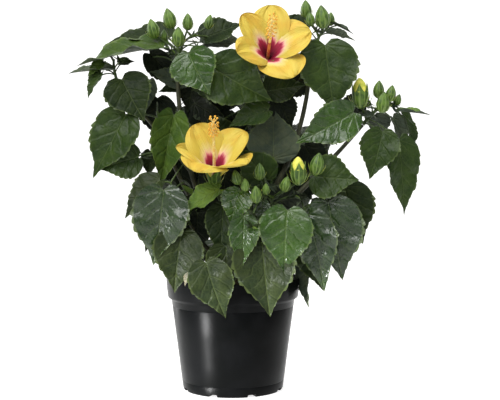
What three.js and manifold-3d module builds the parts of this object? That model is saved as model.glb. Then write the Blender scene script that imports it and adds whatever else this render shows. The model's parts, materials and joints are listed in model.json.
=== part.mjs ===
// A potted hibiscus shrub in bloom: plastic pot, potting soil, a short trunk, tapering boughs, and leafy shoots that
// carry petioled leaves, flower buds and two open blooms.
// Millimetres, +Z up, the front of the plant towards -Y, the origin in the middle of the pot's flat underside.
import * as THREE from "three";
import { mergeVertices } from "three/addons/utils/BufferGeometryUtils.js";
import Module from "manifold-3d";

const wasm = await Module();
wasm.setup();

// ---------------------------------------------------------------- driving dimensions
const GAP = 0.3; // clearance between solids that touch

const POT = {
  height: 112,
  baseRadius: 50,
  shoulderRadius: 61.7, // wall just under the rim band
  shoulderHeight: 90.5,
  rimFootRadius: 65.3, // rim band, bottom and top
  rimTopRadius: 67,
  rimStep: 2.5, // height of the slope under the rim band
  wall: 1.4,
  floor: 2,
  sides: 36,
};
const DRAIN = { count: 8, width: 9, height: 3, innerRadius: 40, slotDepth: 12 };
const SOIL = { edgeHeight: 101, crownHeight: 105, crownRadius: 16 };

const TRUNK = { height: 52, footRadius: 6.2, topRadius: 4.6, flare: 3.4, flareHeight: 9, lean: [3, 2] };
const LIMB_SIDES = 5;
const LIMB_STEPS = 5;

const LEAF = {
  thickness: 0.017, // of the blade's length, at the midrib
  lobe: 0.12, // how far the heart-shaped base reaches back past the petiole
  fold: 12, // degrees that each half rises from the midrib
  curl: 0.09, // how far the tip bends back, of the blade's length
  corners: [0.02, 0.12, 0.3, 0.55, 0.8], // where a display leaf's outline has its corners, along its length
  plainCorners: [0.04, 0.3, 0.65], // and any other leaf's, or a display leaf's shorter than this length
  plainLength: 35,
};
const PETIOLE = { radius: 1.1, sink: 5, rise: 0.22, sides: 3, steps: 2 };
const SHOOT = { footRadius: 1.9, tipRadius: 1.2, sides: 5, steps: 4 };
const BUD = { girth: 0.32, sides: 5, stalk: 1.1 };
const BLOOM = {
  petals: 5,
  petalThickness: 1.1,
  columnRadius: 1.5,
  antherRadius: 3.2,
  calyxRadius: 6.5,
  calyxLength: 15,
};

const RULE = {
  goldenAngle: 137.5, // degrees from one leaf of a shoot to the next
  leafRoom: 3.2, // mm kept clear all round a blade, a stalk and a limb
  stalkRoom: 1.8,
  limbRoom: 1.2,
  rimRoom: 4,
  tries: 18, // bearings and sizes tried for a leaf before it is left out
  turnOn: 31, // degrees from one try to the next
};

// ---------------------------------------------------------------- boughs
// Each leaves its carrier at a height, and runs through one bend to the tip where its shoot takes over.
const BOUGHS = [
  { name: "left_bough", from: "trunk", at: 0.55, bend: [-50, -3, 190], tip: [-55, -5, 310.7], radius: [3.1, 2.1] },
  { name: "far_left_bough", from: "left_bough", at: 0.56, bend: [-80, 24, 262], tip: [-109, 5, 297], radius: [1.9, 1.5] },
  { name: "middle_left_bough", from: "trunk", at: 0.4, bend: [-40, -14, 180], tip: [-60, -15, 229], radius: [2.4, 1.9] },
  { name: "lower_left_bough", from: "trunk", at: 0.22, bend: [-26, -20, 138], tip: [-41, -30, 166], radius: [2.4, 1.9] },
  { name: "lower_bloom_bough", from: "trunk", at: 0.72, bend: [-5, -24, 168], tip: [-10, -38, 186], radius: [2.4, 1.9] },
  { name: "front_bough", from: "trunk", at: 0.45, bend: [22, -26, 146], tip: [38, -38, 176], radius: [2.5, 2] },
  { name: "lower_right_bough", from: "trunk", at: 0.3, bend: [40, -14, 136], tip: [66, -25, 175], radius: [2.5, 1.9] },
  { name: "right_bough", from: "trunk", at: 0.66, bend: [66, 2, 190], tip: [129, -3, 264], radius: [3, 1.9] },
  { name: "upper_right_bough", from: "trunk", at: 0.78, bend: [66, 8, 215], tip: [76, 0, 311], radius: [3.1, 2] },
  { name: "upper_bloom_bough", from: "trunk", at: 0.96, bend: [10, 6, 220], tip: [29, 0, 279], radius: [3, 2] },
  { name: "back_left_bough", from: "trunk", at: 0.3, bend: [-22, 26, 165], tip: [-36, 42, 214], radius: [2.8, 2] },
  { name: "back_right_bough", from: "trunk", at: 0.45, bend: [34, 28, 168], tip: [58, 44, 216], radius: [2.8, 2] },
  { name: "back_centre_bough", from: "trunk", at: 0.68, bend: [8, 34, 190], tip: [8, 50, 246], radius: [2.8, 2] },
];

// ---------------------------------------------------------------- shoots
// A shoot runs on from its bough to a tip. Its display leaves, buds and bloom are each set by where they join their
// stalk. For those, turn is the way they point as seen from the front (0 down, 90 right, 180 up), lean is how far they
// come forward, and roll turns the face about the midrib, all in degrees. The other leaves follow the seeded rule:
// leaves = [count, bearing of the first, pitch, length].
const leaf = (at, turn, lean, roll, length, width) => ({ at, turn, lean, roll, length, width });
const bud = (at, turn, length) => ({ at, turn, lean: 8, length });

const SHOOTS = [
  {
    name: "upper_left_shoot",
    on: "left_bough",
    tip: [-48, -12, 346],
    rule: { seed: 11, count: 4, bearing: 60, pitch: -25, length: 46 },
    room: [[-78, 8], [-10, 60], [290, 358]],
    display: [
      leaf([-68, -18, 340], -85, 8, 116, 72, 52),
      leaf([-64, 14, 349], -94, -5, 70, 62, 38),
      leaf([-78, 12, 334], 40, -5, 10, 50, 27),
      leaf([-42, -37, 332], 23, 10, 12, 45, 46),
      leaf([-20, -30, 319], 57, 8, 0, 66, 55),
      leaf([-32, 4, 350], 116, -5, -38, 42, 33),
      leaf([-31, 14, 342], 97, 0, -68, 32, 25),
    ],
    buds: [
      bud([-76, -14, 349], -166, 19),
      bud([-60, -10, 359], -166, 20),
      bud([-44, -14, 357], 180, 16),
      bud([-53, -22, 340], 179, 19),
      bud([-68, -8, 347], 178, 11),
      bud([-25, -6, 359], 167, 14),
    ],
  },
  {
    name: "far_left_shoot",
    on: "far_left_bough",
    tip: [-118, -5, 329],
    rule: { seed: 23, count: 2, bearing: 70, pitch: -20, length: 30 },
    room: [[-128, -74], [5, 45], [280, 330]],
    display: [
      leaf([-120, -8, 318], -92, 5, 72, 43, 26),
      leaf([-129, -16, 315], -33, 10, 50, 29, 20),
      leaf([-108, -24, 308], 27, 18, -5, 48, 46),
      leaf([-127, -14, 326], -50, 15, 30, 22, 13),
      leaf([-115, 8, 326], 100, -10, -40, 17, 12),
      leaf([-85, 18, 310], -12, 0, 20, 34, 24),
    ],
    buds: [],
  },
  {
    name: "middle_left_shoot",
    on: "middle_left_bough",
    tip: [-75, -8, 277],
    rule: { seed: 37, count: 2, bearing: 80, pitch: -35, length: 42 },
    room: [[-112, -50], [5, 60], [232, 290]],
    display: [
      leaf([-101, -26, 274], -25, 8, 8, 70, 58),
      leaf([-96, -16, 231], -80, 8, 12, 34, 30),
      leaf([-58, -27, 270], -20, 8, -15, 67, 38),
      leaf([-76, 22, 290], -8, 0, 10, 38, 40),
    ],
    buds: [],
  },
  {
    name: "lower_left_shoot",
    on: "lower_left_bough",
    tip: [-60, -38, 208],
    rule: { seed: 41, count: 4, bearing: 150, pitch: -50, length: 52 },
    room: [[-96, -30], [-60, 40], [112, 215]],
    display: [
      leaf([-65, -58, 201], -5, 3, 3, 73, 54),
      leaf([-70, -42, 210], -48, 5, 40, 50, 34),
      leaf([-46, -55, 161], -8, 3, 5, 57, 44),
      leaf([-27, -22, 200], -4, 0, -5, 50, 36),
    ],
    buds: [],
  },
  {
    name: "lower_bloom_shoot",
    on: "lower_bloom_bough",
    tip: [-16, -42, 198],
    display: [leaf([-8, -60, 203], -56, 5, 52, 44, 30), leaf([-8, -56, 186], -6, 3, 10, 50, 31)],
    buds: [],
    bloom: { at: [-17, -44, 206], turn: 180, lean: 28, petalLength: 58, petalWidth: 50, opening: [16, 72], column: 70 },
  },
  {
    name: "front_shoot",
    on: "front_bough",
    tip: [30, -48, 199],
    display: [
      leaf([11, -79, 178], 1, 4, -5, 50, 28),
      leaf([8, -66, 201], -20, 15, 15, 32, 28),
      leaf([29, -66, 191], -5, 5, 10, 22, 16),
      leaf([52, -78, 183], -7, 8, 5, 60, 50),
      leaf([34, -34, 210], -140, 10, 0, 42, 36),
    ],
    buds: [
      bud([6, -66, 207], -165, 14),
      bud([13, -76, 201], -175, 12),
      bud([26, -58, 211], 180, 16),
      bud([23, -74, 190], -177, 16),
      bud([32, -66, 197], 180, 11),
      bud([49, -62, 200], 166, 15),
      bud([63, -60, 207], -178, 26),
      bud([79, -56, 216], 170, 21),
    ],
  },
  {
    name: "front_skirt_shoot",
    on: "trunk",
    at: 0.3,
    tip: [10, -44, 150],
    display: [
      leaf([28, -72, 157], 4, 2, 0, 76, 58),
      leaf([-24, -76, 134], 14, 3, 5, 56, 42),
      leaf([-6, -60, 148], 3, 16, 0, 42, 38),
      leaf([74, -22, 133], -2, 0, 70, 46, 34),
    ],
    buds: [],
  },
  {
    name: "lower_right_shoot",
    on: "lower_right_bough",
    tip: [90, -35, 192],
    rule: { seed: 83, count: 4, bearing: 50, pitch: -48, length: 52 },
    room: [[20, 118], [-30, 60], [112, 205]],
    display: [
      leaf([90, -46, 190], 10, 3, -10, 74, 54),
      leaf([72, -60, 178], 16, 3, -8, 70, 38),
      leaf([68, -48, 158], 16, 2, 0, 52, 30),
      leaf([108, -22, 205], 19, 3, -10, 58, 46),
      leaf([78, -42, 214], 84, 15, -14, 44, 43),
    ],
    buds: [],
  },
  {
    name: "right_shoot",
    on: "right_bough",
    tip: [152, -10, 288],
    rule: { seed: 97, count: 3, bearing: 80, pitch: -35, length: 42 },
    room: [[104, 178], [0, 60], [200, 290]],
    display: [
      leaf([146, -28, 257], -11, 8, 0, 48, 38),
      leaf([161, -12, 249], 7, 3, -15, 75, 40),
      leaf([163, -12, 277], 90, 5, -82, 33, 20),
      leaf([170, 0, 276], 25, 0, -60, 44, 26),
      leaf([161, 12, 272], 25, -5, -50, 38, 26),
      leaf([115, -34, 272], -60, 12, 0, 62, 46),
      leaf([131, 16, 284], -70, -5, 30, 34, 30),
      leaf([137, -12, 273], -95, 0, 60, 18, 14),
    ],
    buds: [
      bud([126, -16, 281], -176, 29),
      bud([146, -22, 276], 174, 20),
      bud([144, -6, 291], 177, 17),
      bud([154, -16, 287], 170, 16),
      bud([161, -8, 283], 160, 12),
    ],
  },
  {
    name: "upper_right_shoot",
    on: "upper_right_bough",
    tip: [86, -4, 352],
    rule: { seed: 101, count: 4, bearing: 50, pitch: -30, length: 44 },
    room: [[56, 118], [0, 62], [296, 360]],
    display: [
      leaf([90, -26, 339], 12, 8, -5, 62, 57),
      leaf([98, -4, 364], 70, 5, -78, 25, 15),
      leaf([94, 6, 354], 78, 0, -50, 30, 20),
      leaf([73, 16, 360], -125, -5, 30, 29, 26),
      leaf([71, 16, 314], -52, -3, 0, 34, 30),
      leaf([81, 20, 312], 42, 0, 0, 30, 26),
    ],
    buds: [
      bud([73, -6, 370], -175, 17),
      bud([89, -14, 359], -173, 22),
      bud([77, -12, 361], -172, 14),
      bud([97, 2, 363], 178, 13),
    ],
  },
  {
    name: "upper_bloom_shoot",
    on: "upper_bloom_bough",
    tip: [32, -6, 312],
    rule: { seed: 113, count: 3, bearing: 60, pitch: -25, length: 44 },
    room: [[-10, 58], [0, 60], [285, 350]],
    display: [leaf([35, -18, 278], -73, 5, 35, 42, 30), leaf([33, -10, 290], 104, 0, -10, 40, 32)],
    buds: [],
    bloom: { at: [36, -12, 325], turn: 174, lean: 60, petalLength: 58, petalWidth: 50, opening: [22, 95], column: 76 },
  },
  {
    name: "back_left_shoot",
    on: "back_left_bough",
    tip: [-44, 52, 284],
    rule: { seed: 127, count: 12, bearing: 100, pitch: -45, length: 54 },
    room: [[-72, 4], [8, 104], [150, 325]],
    display: [leaf([-42, 18, 288], 62, 0, 0, 52, 42), leaf([-52, 12, 228], -4, 0, 0, 46, 38)],
    buds: [],
  },
  {
    name: "back_right_shoot",
    on: "back_right_bough",
    tip: [70, 56, 262],
    rule: { seed: 131, count: 11, bearing: 30, pitch: -45, length: 54 },
    room: [[4, 108], [8, 104], [130, 274]],
    display: [leaf([72, 17, 244], 30, 0, 0, 40, 34), leaf([60, 14, 214], 4, 0, 0, 46, 40)],
    buds: [],
  },
  {
    name: "back_centre_shoot",
    on: "back_centre_bough",
    tip: [12, 58, 320],
    rule: { seed: 139, count: 13, bearing: 60, pitch: -45, length: 56 },
    room: [[-44, 54], [12, 112], [160, 350]],
    display: [leaf([34, 20, 236], 178, 0, 0, 50, 46), leaf([-4, 30, 274], -6, 0, 0, 48, 40)],
    buds: [bud([14, 64, 332], 180, 17), bud([6, 56, 328], -172, 13)],
  },
  {
    name: "back_skirt_shoot",
    on: "trunk",
    at: 0.15,
    tip: [4, 46, 176],
    rule: { seed: 149, count: 12, bearing: 20, pitch: -45, length: 56 },
    room: [[-88, 88], [-25, 112], [80, 212]],
    display: [],
    buds: [],
  },
];

// ---------------------------------------------------------------- vectors and random numbers
const vec = (p) => new THREE.Vector3(...p);
const radians = THREE.MathUtils.degToRad;
const FRONT = vec([0, -1, 0]);
const UP = vec([0, 0, 1]);

// A seeded stream of numbers from 0 to 1.
function stream(seed) {
  let state = seed >>> 0;
  return () => {
    state = (state + 0x6d2b79f5) >>> 0;
    let t = state;
    t = Math.imul(t ^ (t >>> 15), t | 1);
    t ^= t + Math.imul(t ^ (t >>> 7), t | 61);
    return ((t ^ (t >>> 14)) >>> 0) / 4294967296;
  };
}

// The part of a direction that is square to an axis, at length 1.
const squareTo = (direction, axis) => direction.clone().addScaledVector(axis, -direction.dot(axis)).normalize();

// The way a thing points, from its turn in the front view and its lean towards the front.
function pointing({ turn, lean }) {
  const [t, l] = [radians(turn), radians(lean)];
  return new THREE.Vector3(Math.sin(t) * Math.cos(l), -Math.sin(l), -Math.cos(t) * Math.cos(l));
}

// ---------------------------------------------------------------- solids
function solidOf(geometry) {
  for (const name of ["normal", "uv"]) geometry.deleteAttribute(name);
  const merged = mergeVertices(geometry, 1e-3);
  const mesh = { numProp: 3, vertProperties: merged.attributes.position.array, triVerts: new Uint32Array(merged.index.array) };
  return new wasm.Manifold(new wasm.Mesh(mesh));
}

function geometryOf(solid) {
  const { vertProperties, triVerts, numProp } = solid.getMesh();
  const geometry = new THREE.BufferGeometry();
  const array = new THREE.InterleavedBuffer(vertProperties, numProp);
  const points = new Float32Array(array.count * 3);
  for (let i = 0; i < array.count; i++) points.set(vertProperties.subarray(i * numProp, i * numProp + 3), i * 3);
  geometry.setAttribute("position", new THREE.BufferAttribute(points, 3));
  geometry.setIndex(new THREE.BufferAttribute(triVerts, 1));
  return geometry;
}

const join = (solids) => solids.reduce((whole, solid) => whole.add(solid));

// A round limb that tapers along a curve: a cylinder whose rings are carried onto the curve.
function limb(curve, radiusAt, sides, steps) {
  const geometry = new THREE.CylinderGeometry(1, 1, 1, sides, steps);
  const { normals, binormals } = curve.computeFrenetFrames(steps);
  const position = geometry.attributes.position;
  for (let i = 0; i < position.count; i++) {
    const ring = Math.round((position.getY(i) + 0.5) * steps);
    const radius = radiusAt(ring / steps);
    const point = curve.getPoint(ring / steps);
    point.addScaledVector(normals[ring], position.getZ(i) * radius);
    point.addScaledVector(binormals[ring], position.getX(i) * radius);
    position.setXYZ(i, point.x, point.y, point.z);
  }
  return solidOf(geometry);
}

// A solid of revolution about an axis that starts at a point.
function turned(profile, sides, at, direction) {
  const points = profile.map(([radius, along]) => new THREE.Vector2(radius, along));
  const geometry = new THREE.LatheGeometry(points, sides);
  geometry.applyQuaternion(new THREE.Quaternion().setFromUnitVectors(vec([0, 1, 0]), direction));
  geometry.translate(at.x, at.y, at.z);
  return solidOf(geometry);
}

// ---------------------------------------------------------------- pot and soil
// Points [radius, height] up the outside of the pot and down the inside.
function potProfile() {
  const { wall, floor } = POT;
  const outside = [
    [POT.baseRadius, 0],
    [POT.shoulderRadius, POT.shoulderHeight],
    [POT.rimFootRadius, POT.shoulderHeight + POT.rimStep],
    [POT.rimTopRadius, POT.height],
  ];
  const inside = [
    [POT.rimTopRadius - wall, POT.height],
    [POT.rimFootRadius - wall, POT.shoulderHeight + POT.rimStep + wall],
    [POT.shoulderRadius - wall, POT.shoulderHeight + wall],
    [POT.baseRadius - wall, floor],
  ];
  return { outside, inside };
}

function makePot() {
  const { outside, inside } = potProfile();
  const upright = (p) => new THREE.Vector2(p[0], p[1]);
  const profile = [[0, 0], ...outside, ...inside, [0, POT.floor]].map(upright);
  const lathe = new THREE.LatheGeometry(profile, POT.sides).rotateX(Math.PI / 2);
  let pot = solidOf(lathe);
  const reach = POT.baseRadius + DRAIN.slotDepth - DRAIN.innerRadius;
  for (let i = 0; i < DRAIN.count; i++) {
    const notch = new THREE.BoxGeometry(reach, DRAIN.width, 2 * DRAIN.height);
    notch.translate(DRAIN.innerRadius + reach / 2, 0, 0);
    notch.rotateZ(((i + 0.5) * 2 * Math.PI) / DRAIN.count);
    pot = pot.subtract(solidOf(notch));
  }
  return pot;
}

function makeSoil() {
  const { inside } = potProfile();
  const wallPoints = [...inside].reverse().filter(([, height]) => height < SOIL.edgeHeight);
  const fitted = wallPoints.map(([radius, height]) => [radius - GAP, height + GAP]);
  const slope = (POT.rimTopRadius - POT.rimFootRadius) / (POT.height - POT.shoulderHeight - POT.rimStep);
  const edgeRadius = POT.rimFootRadius - POT.wall - GAP + slope * (SOIL.edgeHeight - POT.shoulderHeight - POT.rimStep - POT.wall);
  const top = [
    [edgeRadius, SOIL.edgeHeight],
    [SOIL.crownRadius, SOIL.crownHeight],
    [0, SOIL.crownHeight],
  ];
  const bottom = DRAIN.height + GAP; // clear of the drain notches, which open into the pot
  const lifted = fitted.map(([radius, height]) => [radius, Math.max(height, bottom)]);
  const profile = [[0, bottom], ...lifted, ...top].map(([radius, height]) => new THREE.Vector2(radius, height));
  return solidOf(new THREE.LatheGeometry(profile, POT.sides / 2).rotateX(Math.PI / 2));
}

// ---------------------------------------------------------------- trunk and boughs
const SOIL_TOP = SOIL.crownHeight + GAP;

function trunkCurve() {
  const [leanX, leanY] = TRUNK.lean;
  const top = new THREE.Vector3(leanX, leanY, SOIL_TOP + TRUNK.height);
  return new THREE.QuadraticBezierCurve3(vec([0, 0, SOIL_TOP]), new THREE.Vector3(0, 0, SOIL_TOP + TRUNK.height / 2), top);
}

function trunkRadius(share) {
  const flare = TRUNK.flare * Math.exp((-share * TRUNK.height) / (TRUNK.flareHeight / 2));
  return THREE.MathUtils.lerp(TRUNK.footRadius, TRUNK.topRadius, share) + flare;
}

// A limb's curve, and its solid with some extra radius to cut its neighbours by.
const limbs = new Map();
limbs.set("trunk", {
  curve: trunkCurve(),
  radiusAt: trunkRadius,
  solid: (extra) => limb(trunkCurve(), (share) => trunkRadius(share) + extra, 12, 8),
});

for (const { name, from, at, bend, tip, radius } of BOUGHS) {
  const foot = limbs.get(from).curve.getPoint(at);
  const curve = new THREE.QuadraticBezierCurve3(foot, vec(bend), vec(tip));
  const radiusAt = (share) => THREE.MathUtils.lerp(radius[0], radius[1], share);
  const solid = (extra) => limb(curve, (share) => radiusAt(share) + extra, LIMB_SIDES, LIMB_STEPS);
  limbs.set(name, { curve, from, radiusAt, solid });
}

// A limb cut back so that it sits against its carrier with the usual clearance.
function seated(name) {
  const { from, solid } = limbs.get(name);
  return from ? solid(0).subtract(limbs.get(from).solid(GAP)) : solid(0);
}

// ---------------------------------------------------------------- leaves
// Half the blade's width at a share of its length, of half its greatest width.
const bladeHalf = (share) => Math.sin(Math.PI * Math.pow(share, 0.6));

// A blade's place in space: where it joins its petiole, the way it points, and the way its upper face looks.
function blade(at, along, face, length, width) {
  const side = new THREE.Vector3().crossVectors(along, face);
  return { at, along, face, side, length, width };
}

function displayBlade(spec) {
  const along = pointing(spec);
  const face = squareTo(FRONT, along).applyAxisAngle(along, radians(spec.roll));
  return blade(vec(spec.at), along, face, spec.length, spec.width);
}

// A point on the blade: share 0 to 1 along the midrib, across -1 to 1.
function bladePoint({ at, along, face, side, length, width }, share, across) {
  const out = Math.abs(across);
  const reach = (width / 2) * bladeHalf(share) * across;
  const back = share - LEAF.lobe * out * Math.pow(1 - share, 3);
  const rise = Math.abs(reach) * Math.sin(radians(LEAF.fold)) - length * LEAF.curl * share * share;
  return at
    .clone()
    .addScaledVector(along, length * back)
    .addScaledVector(side, reach * Math.cos(radians(LEAF.fold)))
    .addScaledVector(face, rise);
}

// A lens of a leaf, thickest along the midrib and sharp at its edge.
function leafSolid(b, shares) {
  const half = (b.length * LEAF.thickness) / 2;
  const rows = shares.length;
  const rib = (lift) => [0, ...shares.slice(1)].map((share) => bladePoint(b, share, 0).addScaledVector(b.face, lift));
  const edge = (across) => shares.map((share) => bladePoint(b, share, across));
  const points = [...rib(half), ...rib(-half), ...edge(-1), ...edge(1), bladePoint(b, 1, 0)];
  const at = (line, row) => (row < rows ? line * rows + row : 4 * rows);
  const index = [];
  const triangle = (p, q, r, flip) => index.push(...(flip ? [p, r, q] : [p, q, r]));
  for (const right of [0, 1]) {
    const rim = 2 + right;
    for (const under of [0, 1]) {
      const flip = under === right;
      triangle(at(under, 0), at(rim, 0), at(rim, 1), flip);
      for (let row = 1; row < rows; row++) {
        triangle(at(under, row - 1), at(rim, row), at(under, row), flip);
        triangle(at(under, row), at(rim, row), at(rim, row + 1), flip);
      }
    }
    triangle(at(0, 0), at(1, 0), at(rim, 0), right === 0);
  }
  return solidOf(new THREE.BufferGeometry().setFromPoints(points).setIndex(index));
}

// A stalk from a shoot's axis to a point, arching upwards on the way.
function stalkCurve(start, end, rise) {
  const middle = start.clone().lerp(end, 0.5).addScaledVector(UP, start.distanceTo(end) * rise);
  return new THREE.QuadraticBezierCurve3(start, middle, end);
}

const stalk = (start, end, radius, rise) =>
  limb(stalkCurve(start, end, rise), () => radius, PETIOLE.sides, rise ? PETIOLE.steps : 1);

// ---------------------------------------------------------------- buds and blooms
function budSolid(spec) {
  const { length } = spec;
  const radius = length * BUD.girth;
  const profile = [
    [0, -0.06 * length],
    [0.75 * radius, 0.12 * length],
    [radius, 0.42 * length],
    [0.55 * radius, 0.78 * length],
    [0, length],
  ];
  return turned(profile, BUD.sides, vec(spec.at), pointing(spec));
}

// The middle line of a petal: it leaves the axis at the first opening angle and flares to the second.
function petalLine(bloom, share) {
  const [start, end] = bloom.opening.map(radians);
  const flare = end - start;
  const scale = bloom.petalLength / flare;
  const out = scale * (Math.cos(start) - Math.cos(start + flare * share));
  const up = scale * (Math.sin(start + flare * share) - Math.sin(start));
  return { out, up, angle: start + flare * share };
}

const petalHalf = (share) => Math.pow(Math.sin(Math.PI * Math.pow(share, 1.6)), 0.6);

function petalSolid(bloom, axis, outward) {
  const side = new THREE.Vector3().crossVectors(outward, axis);
  const geometry = new THREE.BoxGeometry(2, 1, 1, 2, 3, 1);
  const position = geometry.attributes.position;
  for (let i = 0; i < position.count; i++) {
    const across = position.getX(i);
    const share = THREE.MathUtils.lerp(0.05, 0.97, position.getY(i) + 0.5);
    const { out, up, angle } = petalLine(bloom, share);
    const reach = (bloom.petalWidth / 2) * petalHalf(share) * across;
    const lift = position.getZ(i) * BLOOM.petalThickness + 0.1 * Math.abs(reach) * across + 0.12 * Math.abs(reach);
    const point = vec(bloom.at)
      .addScaledVector(axis, BLOOM.calyxLength * 0.3 + up + lift * Math.sin(angle))
      .addScaledVector(outward, out - lift * Math.cos(angle))
      .addScaledVector(side, reach);
    position.setXYZ(i, point.x, point.y, point.z);
  }
  return solidOf(geometry);
}

function bloomSolids(bloom) {
  const axis = pointing(bloom);
  const start = vec(bloom.at);
  const first = squareTo(UP, axis);
  const petals = Array.from({ length: BLOOM.petals }, (_, i) =>
    petalSolid(bloom, axis, first.clone().applyAxisAngle(axis, (i * 2 * Math.PI) / BLOOM.petals)),
  );
  const { calyxLength, calyxRadius, columnRadius, antherRadius } = BLOOM;
  const calyx = [
    [0, 0],
    [0.6 * calyxRadius, 0.1 * calyxLength],
    [calyxRadius, calyxLength],
    [0, 1.1 * calyxLength],
  ];
  const length = bloom.column;
  const column = [
    [0, 0.1 * calyxLength],
    [1.6 * columnRadius, 0.5 * calyxLength],
    [columnRadius, 0.55 * length],
    [antherRadius, 0.72 * length],
    [antherRadius, 0.95 * length],
    [0, length],
  ];
  return [...petals, turned(calyx, 6, start, axis), turned(column, 6, start, axis)];
}

// ---------------------------------------------------------------- the rule for the other leaves
// Round markers that stand for a blade, a stalk or a limb when its room is tested.
const marker = (point, radius) => ({ point, radius });

function bladeMarkers(b) {
  const shares = [0.06, 0.22, 0.38, 0.54, 0.7, 0.86, 0.98];
  const across = [-0.9, -0.45, 0, 0.45, 0.9];
  return shares.flatMap((share) => across.map((side) => marker(bladePoint(b, share, side), RULE.leafRoom)));
}

function stalkMarkers(start, end) {
  const places = [0.35, 0.5, 0.65, 0.8];
  return places.map((share) => marker(stalkCurve(start, end, PETIOLE.rise).getPoint(share), RULE.stalkRoom));
}

function limbMarkers(name) {
  const { curve, radiusAt } = limbs.get(name);
  const shares = Array.from({ length: 33 }, (_, i) => i / 32);
  return shares.map((share) => marker(curve.getPoint(share), radiusAt(share) + RULE.limbRoom));
}

const clearOf = (markers, taken) =>
  markers.every((m) => taken.every((other) => m.point.distanceTo(other.point) > m.radius + other.radius));

// Whether a point keeps to a shoot's own room, and out of the pot's mouth and wall.
function inRoom(room, point) {
  const inside = point.toArray().every((value, axis) => value > room[axis][0] && value < room[axis][1]);
  const overPot = point.z > POT.height + RULE.rimRoom || Math.hypot(point.x, point.y) > POT.rimTopRadius + RULE.rimRoom;
  return inside && overPot;
}

function shootCurve(shoot) {
  const carrier = limbs.get(shoot.on).curve;
  const foot = carrier.getPoint(shoot.at ?? 1);
  const tip = vec(shoot.tip);
  const heading = shoot.at ? squareTo(tip.clone().sub(foot), UP) : carrier.getTangent(1);
  if (!shoot.at) foot.addScaledVector(heading, GAP);
  const bend = foot.clone().addScaledVector(heading, foot.distanceTo(tip) / 2);
  return new THREE.QuadraticBezierCurve3(foot, bend, tip);
}

// Leaves up a shoot, each a golden angle round from the last, turned on and made smaller where there is no room.
function ruledBlades(shoot, taken) {
  const { seed, count, bearing, pitch, length } = shoot.rule;
  const random = stream(seed);
  const curve = shootCurve(shoot);
  const blades = [];
  for (let i = 0; i < count; i++) {
    const share = (i + 0.5) / count;
    const fullSize = length * (1.1 - 0.35 * share) * (0.9 + 0.2 * random());
    const slope = radians(pitch + 16 * (random() - 0.5) + 24 * share);
    const reach = 0.45 + 0.2 * random();
    for (let attempt = 0; attempt < RULE.tries; attempt++) {
      const size = fullSize * (1 - 0.02 * attempt);
      const way = radians(bearing + i * RULE.goldenAngle + attempt * RULE.turnOn);
      const outward = new THREE.Vector3(Math.cos(way), Math.sin(way), 0);
      const start = curve.getPoint(share);
      const at = start.clone().addScaledVector(outward, reach * size).addScaledVector(UP, 0.3 * reach * size);
      const along = outward.clone().multiplyScalar(Math.cos(slope)).addScaledVector(UP, Math.sin(slope));
      const made = blade(at, along, squareTo(outward.clone().multiplyScalar(0.35).add(UP), along), size, 0.76 * size);
      const markers = [...bladeMarkers(made), ...stalkMarkers(stemPointFor(curve, at), at)];
      if (markers.every((m) => inRoom(shoot.room, m.point)) && clearOf(markers, taken)) {
        blades.push(made);
        taken.push(...markers);
        break;
      }
    }
  }
  return blades;
}

// ---------------------------------------------------------------- shoots
// The place on a shoot's stem that a stalk leaves from: the nearest to a point a little under its far end.
function stemPointFor(curve, end) {
  const goal = end.clone().addScaledVector(UP, -8);
  const places = Array.from({ length: 17 }, (_, i) => curve.getPoint(0.04 + (0.94 * i) / 16));
  return places.reduce((best, p) => (p.distanceTo(goal) < best.distanceTo(goal) ? p : best));
}

function shootSolid(shoot, blades) {
  const curve = shootCurve(shoot);
  const radiusAt = (share) => THREE.MathUtils.lerp(SHOOT.footRadius, SHOOT.tipRadius, share);
  let stem = limb(curve, radiusAt, SHOOT.sides, SHOOT.steps);
  if (shoot.at) stem = stem.subtract(limbs.get(shoot.on).solid(GAP));
  const solids = [stem];
  for (const [i, b] of blades.entries()) {
    const end = b.at.clone().addScaledVector(b.along, PETIOLE.sink);
    const plain = i >= shoot.display.length || b.length < LEAF.plainLength;
    const corners = plain ? LEAF.plainCorners : LEAF.corners;
    solids.push(stalk(stemPointFor(curve, b.at), end, PETIOLE.radius, PETIOLE.rise), leafSolid(b, corners));
  }
  for (const spec of shoot.buds) {
    const end = vec(spec.at).addScaledVector(pointing(spec), 0.3 * spec.length);
    solids.push(stalk(stemPointFor(curve, vec(spec.at)), end, BUD.stalk, 0), budSolid(spec));
  }
  if (shoot.bloom) {
    const end = vec(shoot.bloom.at).addScaledVector(pointing(shoot.bloom), 4);
    solids.push(stalk(curve.getPoint(0.9), end, 1.6, 0), ...bloomSolids(shoot.bloom));
  }
  return join(solids);
}

// ---------------------------------------------------------------- the plant
const plant = new THREE.Group();

function place(name, solid, color, roughness) {
  const mesh = new THREE.Mesh(geometryOf(solid), new THREE.MeshStandardMaterial({ color, roughness, metalness: 0 }));
  mesh.name = name;
  plant.add(mesh);
}

place("pot", makePot(), "#17181a", 0.4);
place("soil", makeSoil(), "#3a2418", 0.95);
for (const name of limbs.keys()) place(name, seated(name), name === "trunk" ? "#5a5038" : "#4a5230", 0.7);

// The display leaves take their room first, and the ruled leaves find theirs among them.
const displayed = new Map(SHOOTS.map((shoot) => [shoot.name, shoot.display.map(displayBlade)]));
const taken = [...limbs.keys()].flatMap(limbMarkers);
for (const shoot of SHOOTS) {
  for (const b of displayed.get(shoot.name)) {
    taken.push(...bladeMarkers(b), ...stalkMarkers(stemPointFor(shootCurve(shoot), b.at), b.at));
  }
}
for (const shoot of SHOOTS) {
  const ruled = shoot.rule ? ruledBlades(shoot, taken) : [];
  place(shoot.name, shootSolid(shoot, [...displayed.get(shoot.name), ...ruled]), "#2f5a23", 0.35);
}

export default plant;
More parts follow.
